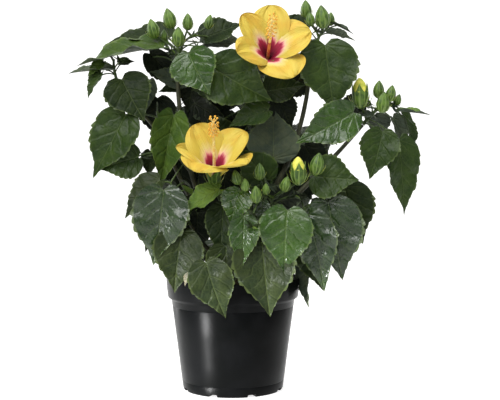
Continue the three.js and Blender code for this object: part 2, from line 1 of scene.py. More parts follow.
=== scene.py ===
"""Dressed model of a potted hibiscus shrub in bloom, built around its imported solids.

Sizes are in millimetres in the frame of the solids: +Z up, -Y towards the front of the plant, the origin in the
middle of the pot's flat underside. Meshes are written in metres.
"""

import json
import logging
import math
from collections.abc import Callable, Iterable, Sequence
from dataclasses import dataclass, field
from enum import Enum
from functools import partial

import bmesh
import bpy
import numpy as np
from mathutils import Matrix, Vector

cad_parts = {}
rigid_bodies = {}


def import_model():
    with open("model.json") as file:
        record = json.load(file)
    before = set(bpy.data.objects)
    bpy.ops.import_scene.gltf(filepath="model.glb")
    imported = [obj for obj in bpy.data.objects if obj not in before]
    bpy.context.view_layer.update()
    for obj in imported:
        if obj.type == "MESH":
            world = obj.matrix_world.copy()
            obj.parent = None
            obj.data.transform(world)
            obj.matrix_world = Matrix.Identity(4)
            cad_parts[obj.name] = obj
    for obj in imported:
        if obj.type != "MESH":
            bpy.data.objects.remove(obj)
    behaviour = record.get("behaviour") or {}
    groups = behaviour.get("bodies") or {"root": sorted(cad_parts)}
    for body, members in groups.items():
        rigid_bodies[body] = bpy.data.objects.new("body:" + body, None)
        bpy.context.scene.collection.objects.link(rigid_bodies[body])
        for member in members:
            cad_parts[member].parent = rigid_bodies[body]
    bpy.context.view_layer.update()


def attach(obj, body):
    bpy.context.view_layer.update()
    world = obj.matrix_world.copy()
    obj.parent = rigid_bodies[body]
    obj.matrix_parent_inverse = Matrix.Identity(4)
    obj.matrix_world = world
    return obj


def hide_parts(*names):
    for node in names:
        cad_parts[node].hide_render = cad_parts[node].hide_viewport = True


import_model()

MM = 0.001
log = logging.getLogger("hibiscus")

Array = np.ndarray
Colour = tuple[float, float, float, float]
Place = tuple[float, float, float]
Box = tuple[tuple[float, float], tuple[float, float], tuple[float, float]]
Object = bpy.types.Object
Material = bpy.types.Material
Socket = bpy.types.NodeSocket
Adder = Callable[..., Socket]
Line = tuple[Array, Array]
FRONT = np.array([0.0, -1.0, 0.0])
UP = np.array([0.0, 0.0, 1.0])
GOLDEN = 137.5  # degrees from one leaf or anther to the next round its stem
EASED = {"interpolation_type": "SMOOTHSTEP"}  # for a Map Range that eases in and out
COLOURS = {"out": 2, "data_type": "RGBA"}  # for a Mix of two colours, whose inputs are 0, 6 and 7


# ---- colours and shader nodes
def linear(code: str) -> Colour:
    """Turns an sRGB hex colour into linear red, green, blue and alpha.

    Args:
        code: Colour such as "#2f4a22".

    Returns:
        Four linear values, alpha 1.
    """
    parts = [int(code[i : i + 2], 16) / 255 for i in (1, 3, 5)]
    red, green, blue = (p / 12.92 if p <= 0.04045 else ((p + 0.055) / 1.055) ** 2.4 for p in parts)
    return red, green, blue, 1.0


def fill(tree: bpy.types.NodeTree, node: bpy.types.Node, given: dict) -> None:
    """Sets or links inputs of a node.

    Args:
        tree: The tree that holds the node.
        node: The node.
        given: Values and feeding sockets, by the input's index or name.
    """
    for key, value in given.items():
        if isinstance(value, Socket):
            tree.links.new(value, node.inputs[key])
        else:
            node.inputs[key].default_value = value


def add(tree: bpy.types.NodeTree, kind: str, *inputs: object, out: int | str = 0, **settings: object) -> Socket:
    """Adds a node with its settings and links.

    Args:
        tree: The tree that gets the node.
        kind: The node's type without its family, and after a dot its operation where it has one.
        inputs: Values and feeding sockets of its first inputs, or one dictionary of them by index or name.
        out: Index or name of the output that is wanted.
        settings: Its properties by name.

    Returns:
        The output.
    """
    kind, _, operation = kind.partition(".")
    family = next(f for f in ("ShaderNode", "GeometryNode", "FunctionNode") if hasattr(bpy.types, f + kind))
    made = tree.nodes.new(family + kind)
    for key, value in (settings | ({"operation": operation} if operation else {})).items():
        setattr(made, key, value)
    fill(tree, made, inputs[0] if inputs and isinstance(inputs[0], dict) else dict(enumerate(inputs)))
    return made.outputs[out]


def grains(vector: Socket, size_mm: float, detail: float = 2, rough: float = 0.5) -> dict:
    """Gives the inputs of a noise whose blotches are about size_mm across, on coordinates in metres."""
    return {"Vector": vector, "Scale": 1 / (size_mm * MM), "Detail": detail, "Roughness": rough}


@dataclass(frozen=True)
class Finish:
    """What all finishes share: one Principled shader over a relief."""

    name: str
    roughness: float = 0.5
    ior: float = 1.45
    depth_mm: float = 1.0  # of the relief

    def build(self) -> Material:
        """Makes the material.

        Returns:
            The material, with the finish's own pattern.
        """
        material = bpy.data.materials.new(self.name)
        material.use_nodes = True
        tree = material.node_tree
        given = {"Roughness": self.roughness, "IOR": self.ior} | self.dress(partial(add, tree))
        if "Height" in given:
            relief = {"Strength": 1.0, "Distance": self.depth_mm * MM, "Height": given.pop("Height")}
            given["Normal"] = add(tree, "Bump", relief)
        fill(tree, tree.nodes["Principled BSDF"], given)
        return material

    def dress(self, node: Adder) -> dict[str, object]:
        """Draws the finish's own pattern.

        Args:
            node: Adds a node to the material's tree.

        Returns:
            Values and sockets for the shader's inputs, and the relief as "Height".
        """
        raise NotImplementedError


@dataclass(frozen=True)
class LeafSkin(Finish):
    """A living hibiscus leaf: dark waxy tissue, quilted between paler veins, that glints where it is young or wet."""

    name: str = "living_leaf_waxy"
    ior: float = 1.42
    green: str = "#2b3d25"
    vein: str = "#8ea05c"
    contrast: float = 0.22  # how far the veins stand out
    wax: float = 0.15  # how strongly it reflects, 0.5 for a plain dielectric

    VEIN_ANGLE = 42.0  # degrees between the midrib and a side vein
    VEIN_STEP = 0.23  # of the leaf's length, between side veins
    FAN_STEP = 15.0  # half the degrees between the veins that fan out at the base
    BOW = 0.85  # how far side veins bow towards the tip
    STRAY = 0.26  # how far they wander, of the leaf's length
    MESH_MM = 4.2  # across the fine net between the veins, three times as coarse as it is, so that it shows
    LIGHTER = (1.35, 1.25, 1.08)  # the tissue's lighter blotches, times its colour
    DARKER = (0.7, 0.76, 0.84)

    @classmethod
    def vein_gap(cls, along: Array, across: Array) -> Array:
        """Measures how far points of a blade are from the nearest side vein.

        Args:
            along: Place along the midrib, in leaf lengths.
            across: Distance from the midrib, in leaf lengths.

        Returns:
            Distances in leaf lengths.
        """
        angle, fan = math.radians(cls.VEIN_ANGLE), math.radians(cls.FAN_STEP)
        rank = along - across * cls.BOW / math.tan(angle)
        upper = np.abs((rank / cls.VEIN_STEP + 0.5) % 1 - 0.5) * cls.VEIN_STEP * math.sin(angle)
        bearing = (np.arctan2(across, along) - angle) / (2 * fan)
        lower = np.abs((bearing + 0.5) % 1 - 0.5) * 2 * fan * np.hypot(across, along)
        return np.where(rank < 0, lower, upper)

    def veins(self, node: Adder, space: Socket) -> tuple[Socket, Socket, Socket]:
        """Works out in nodes what vein_gap and LeafShape.half do, from the leaf's own map.

        Args:
            node: Adds a node.
            space: Coordinates in metres.

        Returns:
            Distance to the nearest side vein, distance to the midrib, and how near the margin a point is, up to 1.
        """
        parts = node("SeparateXYZ", node("UVMap", uv_map="blade"))
        across = node("Math.ABSOLUTE", node("Math.SUBTRACT", parts, LeafShape.MAP_START[0]))
        along = node("Math.SUBTRACT", parts.node.outputs[1], LeafShape.MAP_START[1])
        angle, fan = math.radians(self.VEIN_ANGLE), math.radians(self.FAN_STEP)
        wander = node("TexNoise", grains(space, 17))
        stray = node("Math.MULTIPLY_ADD", wander, self.STRAY, -self.STRAY / 2)
        rank = node("Math.ADD", node("Math.MULTIPLY_ADD", across, -self.BOW / math.tan(angle), along), stray)
        upper = node("Math.MULTIPLY", node("Math.PINGPONG", rank, self.VEIN_STEP / 2), math.sin(angle))
        bearing = node("Math.SUBTRACT", node("Math.ARCTAN2", across, along), angle)
        square = node("Math.MULTIPLY", across, across)
        reach = node("Math.SQRT", node("Math.MULTIPLY_ADD", along, along, square))
        lower = node("Math.MULTIPLY", node("Math.PINGPONG", bearing, fan), reach)
        below = node("Math.LESS_THAN", rank, 0.0)
        side = node("Mix", {0: below, 2: upper, 3: lower}, data_type="FLOAT")
        back = node("Math.POWER", node("Math.SUBTRACT", 1.0, along), 3.0)
        share = node("Math.MULTIPLY_ADD", back, LeafShape.LOBE, along)
        swell = node("Math.SINE", node("Math.MULTIPLY", node("Math.POWER", share, LeafShape.SWELL), math.pi))
        tip = node("MapRange", share, *LeafShape.TIP, 1, 1 - LeafShape.PINCH, **EASED)
        half = node("Math.MULTIPLY", node("Math.MULTIPLY", swell, tip), LeafShape.RATIO / 2)
        return side, across, node("Math.DIVIDE", across, half)

    def dress(self, node: Adder) -> dict[str, object]:
        """Mottles the tissue, draws veins that fade outwards and a pale rim, a painted highlight along the margin, and
        quilts the tissue between them.

        Args:
            node: Adds a node.

        Returns:
            The shader's inputs and the relief.
        """
        space = node("TexCoord", out="Object")
        side, middle, margin = self.veins(node, space)
        net = node("TexVoronoi", {0: space, "Scale": 1 / (self.MESH_MM * MM)}, feature="DISTANCE_TO_EDGE")
        fade = node("MapRange", margin, 0.3, 1.0, 1, 0.3, **EASED)
        side_line = node("Math.MULTIPLY", node("MapRange", side, 0.0005, 0.008, 0.7, 0, **EASED), fade)
        rib_line = node("MapRange", middle, 0.002, 0.01, 1.0, 0, **EASED)
        net_line = node("Math.MULTIPLY", node("MapRange", net, 0.0, 0.16, 0.24, 0, **EASED), fade)
        # Painted highlight: the pale rim along the whole margin stands in for light catching the leaf's edge.
        rim = node("MapRange", margin, 0.93, 1.0, 0, 1.3, **EASED)
        line = side_line
        for other in (rib_line, net_line, rim):
            line = node("Math.MAXIMUM", line, other)
        mottle = node("MapRange", node("TexNoise", grains(space, 15, 4, 0.6)), 0.3, 0.72, **EASED)
        green = linear(self.green)
        light, dark = ((*(g * t for g, t in zip(green, times)), 1.0) for times in (self.LIGHTER, self.DARKER))
        tissue = node("Mix", {0: mottle, 6: dark, 7: light}, **COLOURS)
        drawn = {0: node("Math.MULTIPLY", line, self.contrast), 6: tissue, 7: linear(self.vein)}
        fine = node("TexNoise", grains(space, 5, 3, 0.6))
        side_rise = node("MapRange", side, 0.0, 0.03, **EASED)
        quilt = node("Math.MULTIPLY", side_rise, node("MapRange", middle, 0.0, 0.03, **EASED))
        cells = node("MapRange", net, 0.0, 0.35, 0, 0.13, **EASED)
        swell = node("Math.MULTIPLY_ADD", node("TexNoise", grains(space, 15, 1)), 2.4, cells)
        return {
            "Base Color": node("Mix", drawn, **COLOURS),
            "Specular IOR Level": self.wax,
            "Roughness": node("Math.MULTIPLY_ADD", fine, 0.2, self.roughness - 0.1),
            "Height": node("Math.MULTIPLY_ADD", quilt, 0.45, swell),
        }


@dataclass(frozen=True)
class PetalTissue(Finish):
    """A hibiscus petal: soft matt yellow, with a dark red throat of pointed streaks inside a pink-white halo."""

    name: str = "living_petal_soft"
    roughness: float = 0.58
    depth_mm: float = 0.8
    bands: tuple[tuple[float, str], ...] = (
        (0.0, "#3c0614"),
        (0.17, "#640c24"),
        (0.34, "#8f1638"),
        (0.42, "#a52246"),
        (0.46, "#d98088"),
        (0.5, "#ecc7a4"),
        (0.57, "#e2d184"),
        (0.7, "#d5bf4b"),
        (1.0, "#d5bd4c"),
    )
    warm: str = "#d59f2e"
    streaks: Place = (13, 1.2, 1)  # blotches of the throat's edge across and along a petal
    ridges: Place = (46, 3, 1)  # fine lengthwise veins, half as many as there are, so that they show

    def dress(self, node: Adder) -> dict[str, object]:
        """Runs the colour bands up the petal, with streaks, warmer shades and fine lengthwise veins.

        Args:
            node: Adds a node.

        Returns:
            The shader's inputs and the relief.
        """
        place = node("UVMap", uv_map="petal")
        across = node("SeparateXYZ", place)
        along = across.node.outputs[1]
        stretched = [node("Mapping", {0: place, "Scale": scale}) for scale in (self.streaks, self.ridges)]
        wander, ridge = (node("TexNoise", {"Vector": vector, "Scale": 1.0, "Detail": 2}) for vector in stretched)
        middle = node("Math.SUBTRACT", across, 0.5)
        spread = node("Math.MULTIPLY_ADD", wander, 0.16, -0.08)
        lobed = node("Math.MULTIPLY_ADD", node("Math.MULTIPLY", middle, middle), 2.6, spread)
        bands = node("ValToRGB", node("Math.ADD", along, lobed))
        stops = bands.node.color_ramp.elements
        for i, (at, code) in enumerate(self.bands):
            stop = stops[i] if i < 2 else stops.new(at)
            stop.position, stop.color = at, linear(code)
        blotch = node("TexNoise", grains(node("TexCoord", out="Object"), 13))
        warmth = node("MapRange", blotch, 0.38, 0.72, 0, 0.5, **EASED)
        share = node("Math.MULTIPLY", warmth, node("MapRange", along, 0.45, 0.6, **EASED))
        base = node("Mix", {0: share, 6: bands, 7: linear(self.warm)}, **COLOURS)
        return {"Base Color": base, "Height": ridge}


@dataclass(frozen=True)
class BudSkin(Finish):
    """A bud's calyx: fresh green with paler ribs that stand a little proud, and a slight sheen."""

    name: str = "living_bud_calyx"
    roughness: float = 0.45
    depth_mm: float = 0.35
    green: str = "#5c7a2b"
    shade: str = "#385320"
    rib: str = "#839b50"
    rib_step: float = 0.05  # half the turn from rib to rib

    def dress(self, node: Adder) -> dict[str, object]:
        """Draws the ribs from the bud's own map, over a mottled green.

        Args:
            node: Adds a node.

        Returns:
            The shader's inputs and the relief.
        """
        turn = node("SeparateXYZ", node("UVMap", uv_map="bud"))
        line = node("MapRange", node("Math.PINGPONG", turn, self.rib_step), 0.002, 0.018, 0.8, 0, **EASED)
        blotch = node("TexNoise", grains(node("TexCoord", out="Object"), 5, 3))
        mottle = node("MapRange", blotch, 0.35, 0.65, **EASED)
        skin = node("Mix", {0: mottle, 6: linear(self.shade), 7: linear(self.green)}, **COLOURS)
        return {"Base Color": node("Mix", {0: line, 6: skin, 7: linear(self.rib)}, **COLOURS), "Height": line}


@dataclass(frozen=True)
class Bark(Finish):
    """Thin young bark: dull, in two close browns or greens, with fine ridges that run up the limb."""

    name: str = "young_bark"
    roughness: float = 0.62
    depth_mm: float = 0.35
    light: str = "#6b6a42"
    dark: str = "#37381f"
    grain_mm: float = 1.6
    stretch: Place = (1, 1, 0.22)

    def dress(self, node: Adder) -> dict[str, object]:
        """Stretches a noise up the limb for its colour and relief.

        Args:
            node: Adds a node.

        Returns:
            The shader's inputs and the relief.
        """
        space = node("TexCoord", out="Object")
        tall = node("Mapping", {0: space, "Scale": self.stretch})
        ridge = node("TexNoise", grains(tall, self.grain_mm, 4, 0.6))
        patch = node("Math.MULTIPLY", node("TexNoise", grains(space, 11)), 0.4)
        share = node("MapRange", node("Math.MULTIPLY_ADD", ridge, 0.6, patch), 0.36, 0.64, **EASED)
        base = node("Mix", {0: share, 6: linear(self.dark), 7: linear(self.light)}, **COLOURS)
        return {"Base Color": base, "Height": ridge}


@dataclass(frozen=True)
class PlainTissue(Finish):
    """A small smooth plant part, such as an anther: one soft colour with a faint mottle."""

    depth_mm: float = 0.12
    light: str = "#f3d368"
    dark: str = "#d99a2e"
    grain_mm: float = 1.5

    def dress(self, node: Adder) -> dict[str, object]:
        """Mottles between the two colours.

        Args:
            node: Adds a node.

        Returns:
            The shader's inputs and the relief.
        """
        speck = node("TexNoise", grains(node("TexCoord", out="Object"), self.grain_mm))
        share = node("MapRange", speck, 0.35, 0.65, **EASED)
        base = node("Mix", {0: share, 6: linear(self.dark), 7: linear(self.light)}, **COLOURS)
        return {"Base Color": base, "Height": speck}


@dataclass(frozen=True)
class PotPlastic(Finish):
    """Injection-moulded black polypropylene: a satin sheen drawn out upwards over flow marks and handling scuffs."""

    name: str = "polypropylene_moulded_black"
    roughness: float = 0.36
    ior: float = 1.49
    depth_mm: float = 0.12
    black: str = "#040505"
    # a painted sheen: a slightly lighter black, dealt out in blotches
    painted_sheen: str = "#090a0b"

    def dress(self, node: Adder) -> dict[str, object]:
        """Varies the sheen slightly, partly as a painted sheen of lighter blotches in the black, and gives the wall its
        faint unevenness.

        Args:
            node: Adds a node.

        Returns:
            The shader's inputs and the relief.
        """
        space = node("TexCoord", out="Object")
        # The cloud deals out the painted sheen, a slightly lighter black, in blotches.
        cloud = node("MapRange", node("TexNoise", grains(space, 28, 3)), 0.3, 0.7, **EASED)
        flat = node("Mapping", {0: space, "Scale": (1, 1, 5)})
        scuff = node("TexNoise", grains(flat, 6, 4, 0.65))
        flow = node("TexNoise", grains(space, 9))
        return {
            "Base Color": node("Mix", {0: cloud, 6: linear(self.black), 7: linear(self.painted_sheen)}, **COLOURS),
            "Specular IOR Level": 0.08,
            "Anisotropic": 0.75,
            "Anisotropic Rotation": 0.25,
            "Roughness": node("Math.MULTIPLY_ADD", scuff, 0.14, self.roughness - 0.07),
            "Height": node("Math.MULTIPLY_ADD", node("TexNoise", grains(space, 0.9)), 0.05, flow),
        }


@dataclass(frozen=True)
class Peat(Finish):
    """Damp peat: dull red-brown crumbs over darker hollows."""

    name: str = "damp_peat"
    roughness: float = 0.92
    depth_mm: float = 1.6
    browns: tuple[str, str, str] = ("#24140d", "#5a3321", "#774630")

    def dress(self, node: Adder) -> dict[str, object]:
        """Mixes three browns by crumb size.

        Args:
            node: Adds a node.

        Returns:
            The shader's inputs and the relief.
        """
        space = node("TexCoord", out="Object")
        dark, middle, light = map(linear, self.browns)
        crumb = node("TexNoise", grains(space, 3, 5, 0.7))
        base = node("Mix", {0: node("MapRange", crumb, 0.4, 0.62, **EASED), 6: dark, 7: middle}, **COLOURS)
        patch = node("MapRange", node("TexNoise", grains(space, 13)), 0.5, 0.72, **EASED)
        return {"Base Color": node("Mix", {0: patch, 6: base, 7: light}, **COLOURS), "Height": crumb}


# ---- meshes
@dataclass
class Draft:
    """A mesh in the making, in millimetres."""

    points: list[Array] = field(default_factory=list)  # in blocks
    faces: list[list[int]] = field(default_factory=list)
    uvs: list[tuple[float, float]] = field(default_factory=list)  # one for each corner of each face
    flags: list[float] = field(default_factory=list)  # one for each face, kept as the attribute "under"
    count: int = 0

    SHARP = 48  # degrees between faces past which an edge is sharp

    def grid(
        self,
        points: Array,
        uv: Array | None = None,
        flip: bool = False,
        flag: float = 0.0,
        joined: Array | None = None,
        closed: bool = False,
    ) -> Array:
        """Adds a grid of quads. A first or last row whose points coincide becomes one point.

        Args:
            points: Rows by columns by 3.
            uv: Rows by columns by 2, or None for no map.
            flip: Turns the faces over.
            flag: Value of "under" for its faces.
            joined: Indices of vertices to use in place of its own, or -1 where it has its own.
            closed: Joins the last column to the first.

        Returns:
            The index of each grid point's vertex.
        """
        rows, columns = points.shape[:2]
        uv = np.zeros((rows, columns, 2)) if uv is None else uv
        index = np.arange(rows * columns).reshape(rows, columns) + self.count
        self.points.append(points.reshape(-1, 3))
        self.count += rows * columns
        if joined is not None:
            index = np.where(joined >= 0, joined, index)
        if closed:
            index[:, -1] = index[:, 0]
        for row in (0, rows - 1):
            if np.ptp(points[row], axis=0).max() < 1e-6:
                index[row, :] = index[row, 0]
        for r in range(rows - 1):
            for c in range(columns - 1):
                ring = [(r, c), (r, c + 1), (r + 1, c + 1), (r + 1, c)]
                if flip:
                    ring.reverse()
                kept = [p for i, p in enumerate(ring) if index[p] != index[ring[i - 1]]]
                if len(kept) > 2:
                    self.faces.append([int(index[p]) for p in kept])
                    self.uvs.extend((float(uv[p][0]), float(uv[p][1])) for p in kept)
                    self.flags.append(flag)
        return index

    def shell(self, points: Array, lift: Array, uv: Array | None = None) -> None:
        """Adds a closed thin skin: a grid, and its underside that shares the grid's rim.

        Args:
            points: Rows by columns by 3, the upper side.
            lift: Rows by columns by 3, from the underside up to the upper side.
            uv: Rows by columns by 2, or None.
        """
        top = self.grid(points, uv)
        rim = np.full(top.shape, -1)
        for edge in (np.s_[0, :], np.s_[-1, :], np.s_[:, 0], np.s_[:, -1]):
            rim[edge] = top[edge]
        self.grid(points - lift, uv, True, 1.0, rim)

    def lathe(
        self,
        profile: Sequence[tuple[float, float]],
        sides: int,
        stretch: Callable[[float, float], float] = lambda turn, share: 1.0,
        scale: float = 1.0,
        flag: float = 0.0,
    ) -> "Draft":
        """Adds a solid of revolution about +Z whose profile starts and ends on the axis.

        Args:
            profile: Pairs of radius and height.
            sides: How many columns of faces.
            stretch: Multiplies the radius, from the turn (0 to 1) and the profile's share (0 to 1).
            scale: Millimetres to a unit of the profile.
            flag: Value of "under" for its faces.

        Returns:
            The draft itself.
        """
        turns = np.linspace(0, 1, sides + 1)
        shares = np.linspace(0, 1, len(profile))
        rows = []
        for (radius, height), share in zip(profile, shares):
            around = radius * np.array([stretch(t % 1, share) for t in turns])
            angle = 2 * math.pi * turns
            rows.append(np.stack([around * np.cos(angle), around * np.sin(angle), np.full(sides + 1, height)], 1))
        self.grid(np.array(rows) * scale, np.stack(np.meshgrid(turns, shares), -1), flag=flag, closed=True)
        return self

    def to_object(self, name: str, map_name: str = "surface", linked: bool = True) -> Object:
        """Writes the draft as an object at the origin, in metres, with its loose vertices dropped.

        Args:
            name: The object's name.
            map_name: The name of its UV map.
            linked: Puts it in the scene.

        Returns:
            The object.
        """
        points = np.concatenate(self.points)
        used = sorted({i for face in self.faces for i in face})
        renumber = np.full(len(points), -1)
        renumber[used] = np.arange(len(used))
        mesh = bpy.data.meshes.new(name)
        mesh.from_pydata((points[used] * MM).tolist(), [], [[int(renumber[i]) for i in face] for face in self.faces])
        mesh.uv_layers.new(name=map_name).data.foreach_set("uv", np.array(self.uvs, dtype=np.float32).ravel())
        flags = mesh.attributes.new("under", "FLOAT", "FACE")
        flags.data.foreach_set("value", np.array(self.flags, dtype=np.float32))
        mesh.validate()
        work = bmesh.new()
        work.from_mesh(mesh)
        bmesh.ops.recalc_face_normals(work, faces=work.faces)
        work.to_mesh(mesh)
        work.free()
        mesh.shade_smooth()
        mesh.set_sharp_from_angle(angle=math.radians(self.SHARP))
        return placed(name, mesh) if linked else bpy.data.objects.new(name, mesh)


def placed(name: str, data: bpy.types.ID) -> Object:
    """Puts data in the scene as an object at the origin.

    Args:
        name: The object's name.
        data: A mesh, curve, light or camera.

    Returns:
        The object.
    """
    made = bpy.data.objects.new(name, data)
    bpy.context.scene.collection.objects.link(made)
    return made


def baked(source: Object, name: str) -> Object:
    """Turns an object with live modifiers into a plain mesh object, and removes the source.

    Args:
        source: Object whose evaluated geometry is kept.
        name: Name of the plain mesh object.

    Returns:
        The plain object, at the origin.
    """
    graph = bpy.context.evaluated_depsgraph_get()
    mesh = bpy.data.meshes.new_from_object(source.evaluated_get(graph))
    source.modifiers.clear()
    bpy.data.objects.remove(source)
    mesh.name = name
    return placed(name, mesh)


def finish_piece(
    piece: Object, node: str, material: Material | None = None
) -> None:
    """Gives a piece its material and body, hides the solid that it stands for, and reports it.

    Args:
        piece: The plain mesh object.
        node: The solid.
        material: Its only material, or None where its mesh already has them.
    """
    if material:
        piece.data.materials.clear()
        piece.data.materials.append(material)
    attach(piece, "root")
    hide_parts(node)
    piece.data.calc_loop_triangles()
    log.info("%s: %d triangles", piece.name, len(piece.data.loop_triangles))


# ---- geometry node trees
class NodeTool:
    """A Geometry Nodes tree with named inputs that can be put on an object as a modifier."""

    def __init__(self, name: str, inputs: dict[str, tuple[str, object]]) -> None:
        """Starts a tree with a geometry input and output.

        Args:
            name: The tree's name.
            inputs: For each named input, its kind of socket and its default.
        """
        self.tree = bpy.data.node_groups.new(name, "GeometryNodeTree")
        self.node = partial(add, self.tree)
        face = self.tree.interface
        face.new_socket(name="Geometry", in_out="INPUT", socket_type="NodeSocketGeometry")
        self.ids: dict[str, str] = {}
        for key, (kind, default) in inputs.items():
            socket = face.new_socket(name=key, in_out="INPUT", socket_type=f"NodeSocket{kind}")
            if default is not None:
                socket.default_value = default
            self.ids[key] = socket.identifier
        face.new_socket(name="Geometry", in_out="OUTPUT", socket_type="NodeSocketGeometry")
        self.given = self.tree.nodes.new("NodeGroupInput").outputs

    def end(self, geometry: Socket, chosen: Sequence[tuple[Socket | bool, str]] = ((True, "Material"),)) -> "NodeTool":
        """Ends the tree in Realize Instances, smooth shading and Set Material.

        Args:
            geometry: What the tree has made.
            chosen: For each material input, the faces that get it, or True for all of them.

        Returns:
            The finished tool.
        """
        last = self.node("SetShadeSmooth", self.node("RealizeInstances", geometry))
        for faces, key in chosen:
            last = self.node("SetMaterial", last, faces, self.given[key])
        fill(self.tree, self.tree.nodes.new("NodeGroupOutput"), {0: last})
        return self

    def use_on(self, carrier: Object, name: str, values: dict[str, object]) -> Object:
        """Runs the tree on an object.

        Args:
            carrier: The object, which is used up.
            name: The result's name.
            values: Values of the tree's inputs.

        Returns:
            The result as a plain mesh object.
        """
        modifier = carrier.modifiers.new("nodes", "NODES")
        modifier.node_group = self.tree
        for key, value in values.items():
            modifier[self.ids[key]] = value
        return baked(carrier, name)


def tube_tool() -> NodeTool:
    """Makes the tree that turns curves into round tapering tubes with a relief of lengthwise ridges.

    Returns:
        The tree.
    """
    inputs = {"Sides": ("Int", 8), "Relief": ("Float", 0.0), "Grain": ("Float", 200.0), "Material": ("Material", None)}
    tool = NodeTool("tapering_tubes", inputs)
    node, given = tool.node, tool.given
    ring = node("CurvePrimitiveCircle", {0: given["Sides"], "Radius": 1.0})
    tube = node("CurveToMesh", {0: given["Geometry"], 1: ring, 2: node("InputRadius"), "Fill Caps": True})
    tall = node("VectorMath.MULTIPLY", node("InputPosition"), (1.0, 1.0, 0.3))
    rough = node("TexNoise", {"Vector": tall, "Scale": given["Grain"], "Detail": 2.0})
    depth = node("Math.MULTIPLY", node("Math.SUBTRACT", rough, 0.5), given["Relief"])
    shift = node("VectorMath.SCALE", {0: node("InputNormal"), 3: depth})
    return tool.end(node("SetPosition", {0: tube, 3: shift}))


def scatter_tool(tints: int) -> NodeTool:
    """Makes the tree that puts a pattern object at each point, turned and sized by the point's own values.

    Args:
        tints: How many materials are dealt out by the point's tint. One more goes to the faces flagged "under".

    Returns:
        The tree.
    """
    names = [f"Tint {i}" for i in range(tints)] + ["Underside"]
    inputs = {"Patterns": ("Collection", None)} | {name: ("Material", None) for name in names}
    tool = NodeTool("patterns_on_points", inputs)
    node = tool.node
    separate = {0: tool.given["Patterns"], "Separate Children": True, "Reset Children": True}

    def value(name: str, kind: str) -> Socket:
        """Reads a named attribute."""
        return node("InputNamedAttribute", {"Name": name}, data_type=kind)

    placing = {
        "Points": tool.given["Geometry"],
        "Instance": node("CollectionInfo", separate),
        "Pick Instance": True,
        "Instance Index": value("kind", "INT"),
        "Rotation": node("EulerToRotation", value("turn", "FLOAT_VECTOR")),
        "Scale": value("size", "FLOAT_VECTOR"),
    }
    chosen = [(node("Math.COMPARE", value("tint", "INT"), float(i), 0.4), name) for i, name in enumerate(names[:-1])]
    chosen.append((node("Math.GREATER_THAN", value("under", "FLOAT"), 0.5), names[-1]))
    return tool.end(node("InstanceOnPoints", placing), chosen)


def crumb_tool() -> NodeTool:
    """Makes the tree that strews crumbs of many sizes over a surface, from a fixed seed.

    Returns:
        The tree.
    """
    inputs = {
        "Density": ("Float", 30000.0),
        "Largest": ("Float", 0.0022),
        "Seed": ("Int", 5),
        "Material": ("Material", None),
    }
    tool = NodeTool("strewn_crumbs", inputs)
    node, given = tool.node, tool.given
    strewn = {"Mesh": given["Geometry"], "Density": given["Density"], "Seed": given["Seed"]}
    turn = node("RandomValue", {0: (0, 0, 0), 1: (6.28, 6.28, 6.28), "Seed": 2}, data_type="FLOAT_VECTOR")
    size = node("RandomValue", {0: (0.25, 0.2, 0.2), 1: (1, 0.8, 0.6), "Seed": 3}, data_type="FLOAT_VECTOR")
    placing = {
        "Points": node("DistributePointsOnFaces", strewn),
        "Instance": node("MeshIcoSphere", given["Largest"], 1),
        "Rotation": node("EulerToRotation", turn),
        "Scale": size,
    }
    return tool.end(node("InstanceOnPoints", placing))


def tubes(lines: Iterable[Line], name: str, tool: NodeTool, values: dict[str, object]) -> Object:
    """Makes one mesh of round tapering tubes.

    Args:
        lines: For each tube, its points (n by 3) and radii (n), in millimetres.
        name: The piece's name.
        tool: The tube tree.
        values: Values of the tree's inputs.

    Returns:
        The plain mesh object.
    """
    data = bpy.data.curves.new(name, "CURVE")
    data.dimensions = "3D"
    for points, radii in lines:
        spline = data.splines.new("POLY")
        spline.points.add(len(points) - 1)
        spline.points.foreach_set("co", np.c_[points * MM, np.ones(len(points))].ravel())
        spline.points.foreach_set("radius", radii * MM)
    return tool.use_on(placed(name, data), name, values)


# ---- directions, curves and random numbers
def unit(vector: Array) -> Array:
    """Scales a vector to length 1."""
    return vector / np.linalg.norm(vector)


def square_to(direction: Array, axis: Array) -> Array:
    """Keeps the part of a direction that is square to an axis, at length 1."""
    return unit(direction - axis * float(direction @ axis))


def pointing(turn: float, lean: float) -> Array:
    """Gives the way a thing points, from its turn in the front view and its lean towards the front, in degrees."""
    t, l = math.radians(turn), math.radians(lean)
    return np.array([math.sin(t) * math.cos(l), -math.sin(l), -math.cos(t) * math.cos(l)])


def turned_about(vector: Array, axis: Array, degrees: float) -> Array:
    """Turns a vector about an axis by the right-hand rule."""
    a = math.radians(degrees)
    return vector * math.cos(a) + np.cross(axis, vector) * math.sin(a) + axis * float(axis @ vector) * (1 - math.cos(a))


def upright_turn(way: Array) -> tuple[float, float, float]:
    """Gives the turn that carries +Z onto a direction."""
    return tuple(Vector(way.tolist()).to_track_quat("Z", "Y").to_euler("XYZ"))


@dataclass(frozen=True)
class Bend:
    """A curve through the pull of one middle point."""

    start: Array
    middle: Array
    end: Array

    def at(self, share: float) -> Array:
        """Gives the point at a share of the curve."""
        rest = 1 - share
        return rest * rest * self.start + 2 * rest * share * self.middle + share * share * self.end

    def heading(self) -> Array:
        """Gives the direction at the curve's end."""
        return unit(self.at(1.0) - self.at(0.9999))

    def line(self, count: int) -> Array:
        """Gives evenly shared points from its start to its end."""
        return np.array([self.at(s) for s in np.linspace(0, 1, count)])


